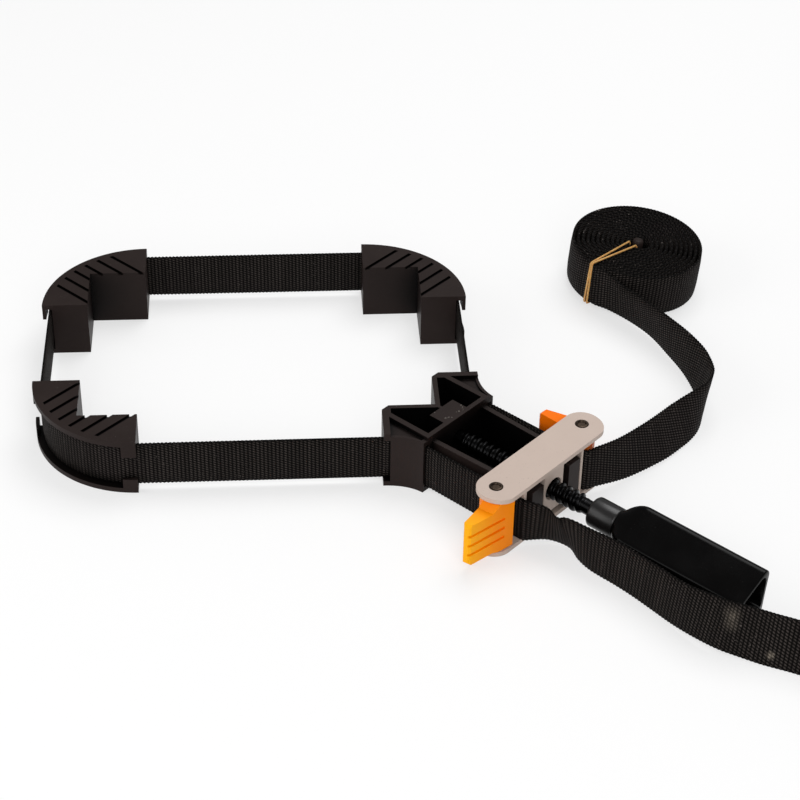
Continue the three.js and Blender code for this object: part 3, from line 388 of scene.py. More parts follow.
# Painted shade: the colour darkens from the yarn's tone on the crests to near black in the valleys between
# ribs and knots; each rib also differs at random in tone
ribToneAndValleyShade = weaveCalc("MULTIPLY", weaveCalc("POWER", weaveHeight, weave["tonePower"]), ribTone)
yarn = weaveBlend(ribToneAndValleyShade, weave["valley"], weave["yarn"])
wornPatch = weaveRange(weaveNoise(weave["wornScale"], detail=4.0), 0.45, 0.75, 0.0, weave["wornShare"])
yarn = weaveBlend(weaveCalc("MULTIPLY", wornPatch, ribToneAndValleyShade), yarn, weave["worn"])
edgeAway = weaveCalc("ABSOLUTE", weaveCalc("SUBTRACT", weaveMap["Y"], strap["width"] / 2))
nearEdge = weaveRange(edgeAway, weave["edgeFrom"], weave["edgeTo"], 0.0, weave["edgeShare"])
yarn = weaveBlend(nearEdge, yarn, weave["edge"])
weaveDust = useGroup(weaveTree, dustTree, Amount=weave["dustAmount"], Speck_Scale=weave["dustSpecks"])
yarn = weaveBlend(weaveDust["Dust"], yarn, weave["dust"])

# Paler patches on the front tail, strongest on the rib crests: u, w, z, radius and strength
paleMarks = [
    (193.5, -17.4, 21.5, 5.5, 0.2), (194.6, -19.0, 17.0, 5.0, 0.16), (193.9, -17.8, 20.6, 2.4, 0.22),
    (214.4, -14.6, 7.1, 2.8, 0.75), (119.7, -16.6, 19.0, 0.9, 0.3),
]
for u, w, z, radius, strength in paleMarks:
    away = calcVector(weaveTree, "DISTANCE", objectPlace(weaveTree), tuple(axisPoint(u, w, z)))
    patch = weaveCalc("POWER", weaveRange(away, radius / 1000, 0.0), weave["palePower"])
    grain = weaveNoise(weave["paleScale"], detail=4.0, roughness=0.65)
    mottle = weaveRange(grain, 0.3, 0.62, 0.25, strength * weave["paleGain"])
    patch = weaveCalc("MULTIPLY", patch, mottle)
    patch = weaveCalc("MULTIPLY", patch, weaveRange(weaveHeight, 0.0, 0.8, 0.25, 1.0))
    yarn = weaveBlend(patch, yarn, weave["paleColor"])
feed(weaveTree, weaveShader.inputs["Base Color"], yarn)
feed(weaveTree, weaveShader.inputs["Roughness"], weaveRange(weaveHeight, 0.0, 1.0, 0.75, 0.5))

# Floor: glows in part where it is seen, so it stays white round its shadows
floor = {"half": 4, "height": -0.0002, "glow": 0.6}
floorSigns = ((-1, -1), (1, -1), (1, 1), (-1, 1))
floorCorners = [(x * floor["half"], y * floor["half"], floor["height"]) for x, y in floorSigns]
floorMesh = bpy.data.meshes.new("floor")
floorMesh.from_pydata(floorCorners, [], [(0, 1, 2, 3)])
floorObject = linked("floor", floorMesh)
floorMaterial, floorTree, floorShader = newMaterial(
    "floor", Roughness=0.9, Base_Color=(0.95, 0.95, 0.95, 1), Specular_IOR_Level=0.1
)
floorRays = wired(floorTree, "ShaderNodeLightPath", {})
floorSeen = calc(floorTree, "MAXIMUM", floorRays["Is Camera Ray"], floorRays["Is Glossy Ray"])
floorShare = calc(floorTree, "MULTIPLY", floorSeen, floor["glow"])
floorGlow = wired(floorTree, "ShaderNodeEmission", {})[0]
floorMix = wired(floorTree, "ShaderNodeMixShader", {0: floorShare, 1: floorShader.outputs[0], 2: floorGlow})
feed(floorTree, floorTree.nodes["Material Output"].inputs["Surface"], floorMix[0])
floorMesh.materials.append(floorMaterial)

print("stage: webbing tree and cords")


def closeTree(tree, geometry, material, label):
    geometry = wired(tree, "GeometryNodeSetShadeSmooth", {"Geometry": geometry})["Geometry"]
    geometry = wired(tree, "GeometryNodeRealizeInstances", {"Geometry": geometry})["Geometry"]
    sockets = {"Geometry": geometry, "Material": material}
    geometry = wired(tree, "GeometryNodeSetMaterial", sockets)["Geometry"]
    wired(tree, "NodeGroupOutput", {label: geometry})


# Geometry tree: a path of points with a direction across the band becomes ribbed webbing with serrated edges
bandTree, given, bandInputs = newTree(
    "webbingBand",
    "GeometryNodeTree",
    [
        ("Path", "Geometry", None),
        ("Width", "Float", strap["width"]),
        ("Thickness", "Float", strap["thick"]),
        ("Rib Pitch", "Float", weave["ribPitch"]),
        ("Rib Depth", "Float", strap["ribDepth"]),
        ("Edge Depth", "Float", strap["edgeDepth"]),
        ("Material", "Material", None),
    ],
    [("Band", "Geometry")],
)
bandNode = partial(wired, bandTree)
bandCalc = partial(calc, bandTree)
bandVector = partial(calcVector, bandTree)


def stored(geometry, name, kind, value, domain="POINT"):
    sockets = {"Geometry": geometry, "Name": name, "Value": value}
    return bandNode("GeometryNodeStoreNamedAttribute", sockets, data_type=kind, domain=domain)["Geometry"]


def recalled(name, kind="FLOAT_VECTOR"):
    return bandNode("GeometryNodeInputNamedAttribute", {"Name": name}, data_type=kind)["Attribute"]


pointPlace = bandNode("GeometryNodeInputPosition", {})[0]
halfRib = bandCalc("DIVIDE", given["Rib Pitch"], 2.0)
strand = bandNode("GeometryNodeMeshToCurve", {"Mesh": given["Path"]})["Curve"]
strand = bandNode("GeometryNodeResampleCurve", {"Curve": strand, "Length": halfRib}, mode="LENGTH")["Curve"]
strand = stored(strand, "foot", "FLOAT_VECTOR", pointPlace)
strand = stored(strand, "run", "FLOAT_VECTOR", bandNode("GeometryNodeInputTangent", {})[0])
strand = stored(strand, "along", "FLOAT", bandNode("GeometryNodeSplineParameter", {})["Length"])
section = bandNode("GeometryNodeCurvePrimitiveQuadrilateral", {"Width": 1.0, "Height": 1.0})[0]
section = bandNode("GeometryNodeSubdivideCurve", {"Curve": section, "Cuts": strap["cuts"]})[0]
section = stored(section, "section", "FLOAT_VECTOR", pointPlace)
sweptSockets = {"Curve": strand, "Profile Curve": section, "Fill Caps": True}
swept = bandNode("GeometryNodeCurveToMesh", sweptSockets)["Mesh"]
sectionPart = bandNode("ShaderNodeSeparateXYZ", {0: recalled("section")})
along = recalled("along", "FLOAT")
ribTurn = bandCalc("DIVIDE", bandCalc("MULTIPLY", along, math.pi), given["Rib Pitch"])
valley = bandCalc("SUBTRACT", bandCalc("ABSOLUTE", bandCalc("SINE", ribTurn)), 1.0)
fromMiddle = bandCalc("ABSOLUTE", bandCalc("MULTIPLY", sectionPart["X"], 2.0))
toEdge = bandCalc("POWER", fromMiddle, strap["edgePower"])
edgeWay = bandCalc("MULTIPLY", toEdge, bandCalc("SIGN", sectionPart["X"]))
edgeShift = bandCalc("MULTIPLY", edgeWay, bandCalc("MULTIPLY", valley, given["Edge Depth"]))
acrossPlace = bandCalc("MULTIPLY", bandCalc("ADD", sectionPart["X"], 0.5), given["Width"])
acrossPlace = bandCalc("ADD", acrossPlace, edgeShift)
swollen = bandCalc("MULTIPLY", given["Thickness"], recalled("swell", "FLOAT"))
ribDip = bandCalc("MULTIPLY", valley, given["Rib Depth"])
halfThick = bandCalc("ADD", bandCalc("MULTIPLY", swollen, 0.5), ribDip)
roundEdge = bandCalc("SUBTRACT", 1.0, bandCalc("MULTIPLY", toEdge, strap["edgeThinning"]))
sidePlace = bandCalc("MULTIPLY", bandCalc("MULTIPLY", sectionPart["Y"], 2.0), halfThick)
sidePlace = bandCalc("MULTIPLY", sidePlace, roundEdge)
acrossWay = bandVector("NORMALIZE", recalled("across"))
sideWay = bandVector("NORMALIZE", bandVector("CROSS_PRODUCT", recalled("run"), acrossWay))
bandPlace = bandVector("ADD", recalled("foot"), scaled(bandTree, acrossWay, acrossPlace))
bandPlace = bandVector("ADD", bandPlace, scaled(bandTree, sideWay, sidePlace))
moved = bandNode("GeometryNodeSetPosition", {"Geometry": swept, "Position": bandPlace})["Geometry"]
mapPlace = bandNode("ShaderNodeCombineXYZ", {"X": along, "Y": acrossPlace})[0]
mapped = stored(moved, "UVMap", "FLOAT2", mapPlace, "CORNER")
closeTree(bandTree, mapped, given["Material"], "Band")


def evaluated(obj):
    graph = bpy.context.evaluated_depsgraph_get()
    return bpy.data.meshes.new_from_object(obj.evaluated_get(graph), depsgraph=graph)


def applied(obj):
    made = evaluated(obj)
    obj.modifiers.clear()
    obj.data = made
    return obj


def runTree(obj, tree, inputs, values):
    modifier = obj.modifiers.new(tree.name, "NODES")
    modifier.node_group = tree
    for label, value in values.items():
        modifier[inputs[label]] = value
    return applied(obj)


def bandFrom(name, frames, thickness=strap["thick"], swell=None, edgeDepth=strap["edgeDepth"]):
    path = bpy.data.meshes.new(name + "Path")
    path.from_pydata([foot for foot, across in frames], [(k, k + 1) for k in range(len(frames) - 1)], [])
    direction = path.attributes.new("across", "FLOAT_VECTOR", "POINT")
    direction.data.foreach_set("vector", [part for foot, across in frames for part in across])
    path.attributes.new("swell", "FLOAT", "POINT").data.foreach_set("value", swell or [1.0] * len(frames))
    values = {
        "Thickness": thickness, "Rib Pitch": weave["ribPitch"], "Edge Depth": edgeDepth, "Material": webbing,
    }
    obj = runTree(linked(name, path), bandTree, bandInputs, values)
    obj.data.name = name
    for label in ("foot", "run", "along", "section", "across", "swell"):
        if label in obj.data.attributes:
            obj.data.attributes.remove(obj.data.attributes[label])
    return obj


def dress(obj, body, slot, *nodes):
    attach(obj, body)
    if nodes:
        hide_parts(*nodes)
    return obj


# A smooth route through points, by the centripetal rule that the solids use
def smoothRoute(points, steps):
    ends = [2 * points[0] - points[1], *points, 2 * points[-1] - points[-2]]
    route = []
    for k in range(len(points) - 1):
        a, b, c, d = ends[k : k + 4]
        first, second, third = (max((q - p).length ** 0.5, 1e-4) for p, q in ((a, b), (b, c), (c, d)))
        startSlope = ((b - a) / first - (c - a) / (first + second) + (c - b) / second) * second
        endSlope = ((c - b) / second - (d - b) / (second + third) + (d - c) / third) * second
        for step in range(steps):
            t = step / steps
            route.append(
                b * (2 * t**3 - 3 * t**2 + 1) + startSlope * (t**3 - 2 * t**2 + t)
                + c * (3 * t**2 - 2 * t**3) + endSlope * (t**3 - t**2)
            )
    return route + [points[-1]]


def tailFrames(points, steps=10):
    feet = smoothRoute([point for point, lean in points], steps)
    leans = smoothRoute([Vector((k, lean, 0)) for k, (point, lean) in enumerate(points)], steps)
    frames = []
    for k, foot in enumerate(feet):
        run = feet[min(k + 1, len(feet) - 1)] - feet[max(k - 1, 0)]
        left = upward.cross(run).normalized()
        lean = math.radians(leans[k].y)
        frames.append((foot, math.cos(lean) * upward + math.sin(lean) * left))
    return frames


# Both tails leave their cam straight along the axis
def tailRoot(start, w, lead=0.8):
    return [(axisPoint(start + step, w, strap["foot"]), 0) for step in (0, lead)]


# The loop inside its jaws, and how the webbing lies outside it, bends into the jaw and runs beside the rails
loop = {
    "width": 179, "depth": 128, "closing": 0.09,
    "offset": 20, "arm": 30, "bend": 28, "side": 24.2, "middle": 15,
}

# Short tail beside the handle: along the axis, sideways to the front, height of the lower edge, lean
frontTail = {
    "start": 77,
    "points": [
        (81, 20.6, 3, -6), (85.5, 15.4, 2.6, -15), (91, 12.2, 1.8, -22), (97.5, 11.2, 1, -21),
        (105, 14.8, 0.6, -7.2), (112.5, 16.9, 0.5, -0.5), (120, 17.5, 0.5, 2.8), (128, 17.6, 0.5, 4.4),
        (140, 18.5, 0.6, 4.4), (153, 20.5, 1, 6.5), (163, 22.3, 1.5, 7.4), (172, 23.9, 2.5, 9.5),
        (183, 24.8, 3.4, 15.5), (193, 24.4, 3.8, 19.6), (203, 21.6, 3.3, 25.3), (212, 18.4, 2.5, 28.9),
        (228, 11.9, 1.8, 26.6), (246, 6.7, 1, 19.9), (266, 2.4, 0.5, 13.7), (288, -2, 0.5, 4),
    ],
}
frontRoute = tailRoot(frontTail["start"], -loop["side"])
frontRoute += [(axisPoint(u, -v, z), lean) for u, v, z, lean in frontTail["points"]]
frontFrames = tailFrames(frontRoute)
frontTailPiece = dress(bandFrom("frontTail", frontFrames), "frame", "webbing", "front_tail")

# Flat coil that ends the long tail, tilted a little so that its left side is raised
coil = {
    "centre": (124.6, 154.3), "radius": 37.2, "pitch": 2.75, "turns": 11.5, "start": 222, "lift": 1.5,
    "thick": 1.9, "edgeDepth": 0.00018, "tilt": 4.3, "raised": 158, "drop": 1.3, "turnSteps": 72,
}


def coilPlace(turns):
    angle = math.radians(coil["start"]) - 2 * math.pi * turns
    radius = coil["radius"] - coil["pitch"] * turns
    x, y = coil["centre"]
    return loopPoint(x + radius * math.cos(angle), y + radius * math.sin(angle), coil["lift"])


def leaned(point):
    angle = math.radians(coil["raised"])
    raised = Vector((math.cos(angle), math.sin(angle), 0))
    hinge = loopPoint(*coil["centre"], 0) - raised * coil["radius"] / 1000
    turn = Matrix.Rotation(math.radians(coil["tilt"]), 3, raised.cross(upward))
    return hinge - upward * coil["drop"] / 1000 + turn @ (point - hinge)


def leanedPiece(obj):
    for vertex in obj.data.vertices:
        vertex.co = leaned(vertex.co)
    return obj


# Long tail: x, y, height of the lower edge, lean
rearTail = {
    "start": 71.5,
    "points": [
        (73.7, -34.7, 3, 0), (77.9, -32.7, 3, 1), (83.4, -30.4, 2.6, 3), (89.3, -27.6, 1.9, 5.9),
        (96.2, -23.9, 1.2, 10), (103.2, -19.6, 1, 13.4), (111.3, -14.2, 0.9, 17.1), (118.4, -9.1, 0.9, 20.5),
        (126.5, -1.5, 0.8, 21.2), (133.2, 5.7, 0.7, 18.5), (138.2, 13.1, 0.8, 11.2), (141.8, 23, 0.7, -3.3),
        (143.4, 35, 0.8, -11.7), (142.4, 48.6, 0.7, -11.9), (139.4, 64.7, 0.8, -5.1), (134.4, 80.4, 0.8, 2.3),
        (126.7, 100.4, 0.9, 11), (117, 113.8, 1.7, 12.2), (106.4, 123.1, 3.1, 4.5),
    ],
    "joins": (3.5, 0.05),  # distances of the last points from the coil's start
    "joinLean": -0.44,  # share of the coil's tilt
    "swellSteps": 30,
}
rearRoute = tailRoot(rearTail["start"], loop["side"])
rearRoute += [(loopPoint(x, y, z), lean) for x, y, z, lean in rearTail["points"]]
for before in rearTail["joins"]:
    joinPlace = leaned(coilPlace(-before / (2 * math.pi * coil["radius"])))
    rearRoute.append((joinPlace, rearTail["joinLean"] * coil["tilt"]))
rearFrames = tailFrames(rearRoute)
# The tail thickens to the coil's winding over its last steps
lastFrame = len(rearFrames) - 1
growth = coil["thick"] / 1000 / strap["thick"] - 1
swell = [1 + max(0.0, 1 - (lastFrame - k) / rearTail["swellSteps"]) * growth for k in range(lastFrame + 1)]
rearTailPiece = dress(bandFrom("rearTail", rearFrames, swell=swell), "frame", "webbing", "rear_tail")

coilSteps = round(coil["turns"] * coil["turnSteps"])
coilFrames = [(coilPlace(coil["turns"] * k / coilSteps), upward) for k in range(coilSteps + 1)]
coilBand = bandFrom("tailCoil", coilFrames, coil["thick"] / 1000, edgeDepth=coil["edgeDepth"])
coilPiece = dress(leanedPiece(coilBand), "frame", "webbing", "tail_coil")


def closedTube(name, points, radius):
    curve = bpy.data.curves.new(name, "CURVE")
    curve.dimensions = "3D"
    curve.bevel_depth = radius
    curve.bevel_resolution = 3
    spline = curve.splines.new("POLY")
    spline.points.add(len(points) - 1)
    for item, point in zip(spline.points, points):
        item.co = (*point, 1)
    spline.use_cyclic_u = True
    obj = linked(name, curve)
    made = evaluated(obj)
    bpy.data.objects.remove(obj)
    bpy.data.curves.remove(curve)
    return made


def meshFrom(name, mesh):
    data = bpy.data.meshes.new(name)
    mesh.to_mesh(data)
    mesh.free()
    return data


def smoothPiece(name, data, material):
    data.materials.clear()
    data.materials.append(material)
    data.shade_smooth()
    return linked(name, data)


# Rubber band: two strands that share the coil's outer edge and spread towards its middle
tie = {
    "angle": 219, "thick": 0.55, "inner": 4.6, "outer": 38.8, "near": 0.5, "footSpread": 1.0, "spread": 2.5,
}


def tiePlace(radius, side, height):
    angle = math.radians(tie["angle"])
    x, y = coil["centre"]
    x += radius * math.cos(angle) - side * math.sin(angle)
    y += radius * math.sin(angle) + side * math.cos(angle)
    return loopPoint(x, y, height)


tieMesh = bmesh.new()
for side in (-1, 1):
    near, foot, far = (side * tie[key] for key in ("near", "footSpread", "spread"))
    outer, inner = tie["outer"], tie["inner"]
    corners = [
        (outer - 1.4, near, 27.5), (outer - 0.3, near, 27.2), (outer, near, 26.2), (outer, foot, 1.6),
        (outer - 0.4, foot, 0.8), (outer - 1.6, foot, 0.65), (inner + 1.2, far, 0.65), (inner, far, 1.8),
        (inner, far, 26.2), (inner + 1, far, 27.4),
    ]
    strandMesh = closedTube("tieStrand", [tiePlace(*corner) for corner in corners], tie["thick"] / 1000)
    tieMesh.from_mesh(strandMesh)
    bpy.data.meshes.remove(strandMesh)
tiePiece = leanedPiece(smoothPiece("coilTie", meshFrom("coilTie", tieMesh), rubber))
dress(tiePiece, "frame", "tie_rubber", "coil_tie")


# Lathe about any axis: a profile of (distance along, radius) pairs, closed at both ends
def turnedMesh(name, start, direction, profile, count=64):
    sideways = Vector((0, 0, 1)) if abs(direction.z) < 0.9 else Vector((1, 0, 0))
    first = direction.cross(sideways).normalized()
    second = direction.cross(first)
    mesh = bmesh.new()
    rings = []
    for along, radius in profile:
        centre = start + direction * along / 1000
        if radius == 0:
            rings.append([mesh.verts.new(centre)])
            continue
        rings.append([
            mesh.verts.new(centre + (first * math.cos(turn) + second * math.sin(turn)) * radius / 1000)
            for turn in (2 * math.pi * k / count for k in range(count))
        ])
    for a, b in zip(rings, rings[1:]):
        for k in range(count):
            corners = [a[k % len(a)], b[k % len(b)], b[(k + 1) % len(b)], a[(k + 1) % len(a)]]
            mesh.faces.new(list(dict.fromkeys(corners)))
    bmesh.ops.recalc_face_normals(mesh, faces=mesh.faces)
    return meshFrom(name, mesh)


def shown(name, data, material, sharp=38):
    obj = smoothPiece(name, data, material)
    data.set_sharp_from_angle(angle=math.radians(sharp))
    return obj


# Sealed end of the webbing, rolled up in the middle of the coil
strapEnd = {
    "away": 0.6,
    "sides": 32,
    "profile": [
        (2.0, 0), (2.0, 2.2), (2.5, 3.0), (26.9, 3.0), (27.6, 2.7), (28.0, 2.1), (28.2, 1.0), (28.2, 0),
    ],
}
endPlace = tiePlace(strapEnd["away"], 0, 0)
endMesh = turnedMesh("strapEnd", endPlace, upward, strapEnd["profile"], strapEnd["sides"])
strapEndPiece = leanedPiece(shown("strapEnd", endMesh, moulding))
dress(strapEndPiece, "frame", "webbing")

print("stage: webbing round the work")

arm = loop["arm"]
offset = loop["offset"]
passCentre = offset + loop["bend"]
passStart = -(loop["side"] * rootTwo - offset + loop["bend"] * (rootTwo - 1))
passExit = (passStart + passCentre) / rootTwo
leftArm = arm - loop["width"]
rearArm = loop["depth"] - arm
leftLine = -loop["width"] - offset
backLine = loop["depth"] + offset
straights = {
    "frontRun": {"node": "band_front_run", "ends": ((leftArm, -offset), (passStart, -offset))},
    "leftRun": {"node": "band_left_run", "ends": ((leftLine, arm), (leftLine, rearArm))},
    "rearRun": {"node": "band_rear_run", "ends": ((leftArm, backLine), (-arm, backLine))},
    "rightRun": {"node": "band_right_run", "ends": ((offset, -passStart), (offset, rearArm))},
}


def uprightFrame(x, y):
    return loopPoint(x, y, strap["foot"]), upward


runs = {}
for name, run in straights.items():
    runs[name] = bandFrom(name, [uprightFrame(*end) for end in run["ends"]])
    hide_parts(run["node"])


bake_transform(runs["frontRun"])
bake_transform(runs["leftRun"])
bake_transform(runs["rightRun"])
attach(runs["rearRun"], "rear_right")
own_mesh(runs["rearRun"])


def arcFrames(centre, radius, start, end, steps=48):
    x, y = centre
    turns = [math.radians(start + (end - start) * k / steps) for k in range(steps + 1)]
    return [uprightFrame(x + radius * math.cos(turn), y + radius * math.sin(turn)) for turn in turns]


wrapRadius = arm + offset
bends = {
    "frontLeftWrap": {
        "body": "front_left", "node": "band_front_left_wrap",
        "centre": (leftArm, arm), "radius": wrapRadius, "turn": (180, 270),
    },
    "rearLeftWrap": {
        "body": "rear_left", "node": "band_rear_left_wrap",
        "centre": (leftArm, rearArm), "radius": wrapRadius, "turn": (90, 180),
    },
    "rearRightWrap": {
        "body": "rear_right", "node": "band_rear_right_wrap",
        "centre": (-arm, rearArm), "radius": wrapRadius, "turn": (0, 90),
    },
    "frontPass": {
        "body": "frame", "node": "band_front_pass",
        "centre": (passStart, -passCentre), "radius": loop["bend"], "turn": (90, 45),
    },
    "rearPass": {
        "body": "frame", "node": "band_rear_pass",
        "centre": (passCentre, -passStart), "radius": loop["bend"], "turn": (180, 225),
    },
}
for name, bend in bends.items():
    frames = arcFrames(bend["centre"], bend["radius"], *bend["turn"])
    dress(bandFrom(name, frames), bend["body"], "webbing", bend["node"])

sides = {
    "frontSide": {"node": "band_front_side", "w": -loop["side"], "end": frontTail["start"]},
    "rearSide": {"node": "band_rear_side", "w": loop["side"], "end": rearTail["start"]},
}
for name, side in sides.items():
    frames = [(axisPoint(u, side["w"], strap["foot"]), upward) for u in (passExit, side["end"])]
    dress(bandFrom(name, frames), "frame", "webbing", side["node"])

print("stage: mouldings and metal")

# Seen close, the real carriage and rails reach a little further to the handle than their solids.
# The values named Was are half widths in the solids, which show the corners to move.
reach = {
    "plateEnd": 9.6, "plateRim": 0.7, "plateMore": 2.0,
    "webWas": 9.2, "webHalf": 7.4, "webMore": 1.0,
    "footWas": 13.3, "footInner": 10.0, "railFrom": 72, "railDraw": 0.912, "railMore": 2.8,
    "rearFrom": 75, "same": 0.05,
}


def isAt(w, half):
    return abs(abs(w) - half) < reach["same"]


def longerPlate(u, w, z):
    fromPin = math.hypot(u - pivot["u"], abs(w) - pivot["w"])
    if u > pivot["u"] and fromPin > reach["plateRim"] * reach["plateEnd"]:
        u += (u - pivot["u"]) / reach["plateEnd"] * reach["plateMore"]
    return u, w, z


def slimmerWeb(u, w, z):
    if isAt(w, reach["webWas"]):
        w = math.copysign(reach["webHalf"], w)
    return u + (reach["webMore"] if u > reach["rearFrom"] else 0), w, z


def longerRails(u, w, z):
    if u > reach["railFrom"]:
        w = math.copysign(reach["footInner"], w) if isAt(w, reach["footWas"]) else w * reach["railDraw"]
    return u + (reach["railMore"] if u > reach["rearFrom"] else 0), w, z


# A solid with its edges rounded: flat facets are joined first, then every real edge is bevelled
softening = {"weld": 1e-6, "flatAngle": 0.6, "edgeAngle": 28, "segments": 3}


def softened(name, node, material, bevel, reshape):
    mesh = bmesh.new()
    mesh.from_mesh(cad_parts[node].data)
    bmesh.ops.remove_doubles(mesh, verts=mesh.verts, dist=softening["weld"])
    if reshape:
        for corner in mesh.verts:
            away = (corner.co - notchPoint) * 1000
            corner.co = axisPoint(*reshape(away.dot(alongAxis), away.dot(rearOfAxis), away.z))
    flatAngle = math.radians(softening["flatAngle"])
    bmesh.ops.dissolve_limit(mesh, angle_limit=flatAngle, verts=mesh.verts, edges=mesh.edges)
    obj = smoothPiece(name, meshFrom(name, mesh), material)
    modifier = obj.modifiers.new("edges", "BEVEL")
    modifier.width = bevel / 1000
    modifier.segments = softening["segments"]
    modifier.limit_method = "ANGLE"
    modifier.angle_limit = math.radians(softening["edgeAngle"])
    modifier.use_clamp_overlap = True
    obj.modifiers.new("flatness", "WEIGHTED_NORMAL").keep_sharp = True
    return applied(obj)


finishes = {
    "moulding": moulding,
    "painted_metal": paintedMetal,
    "black_steel": blackSteel,
    "lever_plastic": leverPlastic,
}
mouldings = {
    "fixedJaw": {
        "node": "fixed_jaw", "body": "frame", "slot": "moulding", "bevel": 0.35,
        "reshape": longerRails,
    },
    "frontLeftJaw": {"node": "front_left_jaw", "body": "front_left", "slot": "moulding", "bevel": 0.4},
    "rearLeftJaw": {"node": "rear_left_jaw", "body": "rear_left", "slot": "moulding", "bevel": 0.4},
    "rearRightJaw": {"node": "rear_right_jaw", "body": "rear_right", "slot": "moulding", "bevel": 0.4},
    "carriageTop": {
        "node": "carriage_top_plate", "body": "carriage", "slot": "painted_metal", "bevel": 0.8,
        "reshape": longerPlate,
    },
    "carriageBottom": {
        "node": "carriage_bottom_plate", "body": "carriage", "slot": "painted_metal", "bevel": 0.8,
    },
    "carriageWeb": {
        "node": "carriage_web", "body": "carriage", "slot": "painted_metal", "bevel": 0.4,
        "reshape": slimmerWeb,
    },
    "spindleNut": {"node": "spindle_nut", "body": "carriage", "slot": "black_steel", "bevel": 0.5},
    "frontLever": {"node": "front_cam_lever", "body": "front_lever", "slot": "lever_plastic", "bevel": 0.9},
    "rearLever": {"node": "rear_cam_lever", "body": "rear_lever", "slot": "lever_plastic", "bevel": 0.9},
}
for name, item in mouldings.items():
    piece = softened(name, item["node"], finishes[item["slot"]], item["bevel"], item.get("reshape"))
    dress(piece, item["body"], item["slot"], item["node"])

# Geometry tree: a small dome on each given point, of uneven size
markTree, markGiven, markInputs = newTree(
    "mouldMarks",
    "GeometryNodeTree",
    [
        ("Points", "Geometry", None),
        ("Radius", "Float", 0.0004),
        ("Spread", "Float", 0.4),
        ("Seed", "Int", 7),
        ("Material", "Material", None),
    ],
    [("Marks", "Geometry")],
)
domeSockets = {"Subdivisions": 3, "Radius": markGiven["Radius"]}
dome = wired(markTree, "GeometryNodeMeshIcoSphere", domeSockets)["Mesh"]
unevenSockets = {
    2: calc(markTree, "SUBTRACT", 1.0, markGiven["Spread"]),
    3: calc(markTree, "ADD", 1.0, markGiven["Spread"]),
    "Seed": markGiven["Seed"],
}
uneven = wired(markTree, "FunctionNodeRandomValue", unevenSockets, data_type="FLOAT")[1]
markSockets = {"Points": markGiven["Points"], "Instance": dome, "Scale": uneven}
marks = wired(markTree, "GeometryNodeInstanceOnPoints", markSockets)[0]
closeTree(markTree, marks, markGiven["Material"], "Marks")

# Small domes on the top of the boss, their paler colour a painted highlight: u and w of each
bossMarks = {
    "top": 32.55,
    "radius": 0.00042,
    "places": [
        (10.4, 7.9), (12.3, 6.8), (11.6, 7.6), (13.6, 5.7), (12.9, 3.4), (12.3, 2.2),
        (13.5, -2.8), (12.4, -3.8), (12.0, -4.8), (11.6, -5.5), (4.6, -5.7),
    ],
}
markPoints = bpy.data.meshes.new("bossMarks")
markPoints.from_pydata([axisPoint(u, w, bossMarks["top"]) for u, w in bossMarks["places"]], [], [])
markValues = {"Radius": bossMarks["radius"], "Material": bossDotHighlight}
markPiece = runTree(linked("bossMarks", markPoints), markTree, markInputs, markValues)
dress(markPiece, "frame", "moulding")

print("stage: spindle, handle and pins")

axisHeight = 20.0
axisStart = axisPoint(0, 0, axisHeight)


def aroundAxis(u, radius, turn):
    spoke = rearOfAxis * math.cos(turn) + upward * math.sin(turn)
    return axisPoint(u, 0, axisHeight) + spoke * radius / 1000


# Rings of points become one closed skin with flat ends
def skinned(name, rings):
    mesh = bmesh.new()
    rows = [[mesh.verts.new(point) for point in ring] for ring in rings]
    count = len(rows[0])
    for a, b in zip(rows, rows[1:]):
        for k in range(count):
            mesh.faces.new((a[k], a[(k + 1) % count], b[(k + 1) % count], b[k]))
    mesh.faces.new(rows[0])
    mesh.faces.new(rows[-1])
    bmesh.ops.recalc_face_normals(mesh, faces=mesh.faces)
    return meshFrom(name, mesh)


# Screw: plain tip, right-hand thread that fades at both ends, neck
screw = {
    "tip": 9.6, "tipRound": 0.8, "threadFrom": 14.6, "threadTo": 100.5, "end": 113.1, "pitch": 4,
    "crest": 5.2, "core": 3.8, "plain": 4.0, "neck": 3.5, "tooth": (0.22, 0.5, 0.72),
    "sides": 40, "step": 0.25, "neckStops": (0.3, 3, 4.5),
}


def screwRadius(u, turn):
    if u < screw["threadFrom"]:
        return screw["plain"] - max(0.0, screw["tipRound"] - (u - screw["tip"]))
    if u > screw["threadTo"]:
        return screw["neck"]
    phase = ((u - screw["threadFrom"]) / screw["pitch"] - turn / (2 * math.pi)) % 1.0
    rise, top, foot = screw["tooth"]
    height = min(1.0, phase / rise, max(0.0, (foot - phase) / (foot - top)))
    inward = min(u - screw["threadFrom"], screw["threadTo"] - u) / screw["pitch"] - 1
    return screw["core"] + (screw["crest"] - screw["core"]) * height * min(1.0, max(0.0, inward))


tipSteps = math.ceil((screw["threadFrom"] - screw["tip"]) / screw["tipRound"])
threadSteps = int((screw["threadTo"] - screw["threadFrom"]) / screw["step"])
stops = [screw["tip"] + k * screw["tipRound"] for k in range(tipSteps)]
stops += [screw["threadFrom"] + k * screw["step"] for k in range(threadSteps + 1)]
stops += [screw["threadTo"] + past for past in screw["neckStops"]]
stops.append(screw["end"])
screwTurns = [2 * math.pi * k / screw["sides"] for k in range(screw["sides"])]
screwRings = [[aroundAxis(u, screwRadius(u, turn), turn) for turn in screwTurns] for u in stops]
screwPiece = shown("spindleScrew", skinned("spindleScrew", screwRings), blackSteel, 60)
dress(screwPiece, "spindle", "black_steel", "spindle_screw")

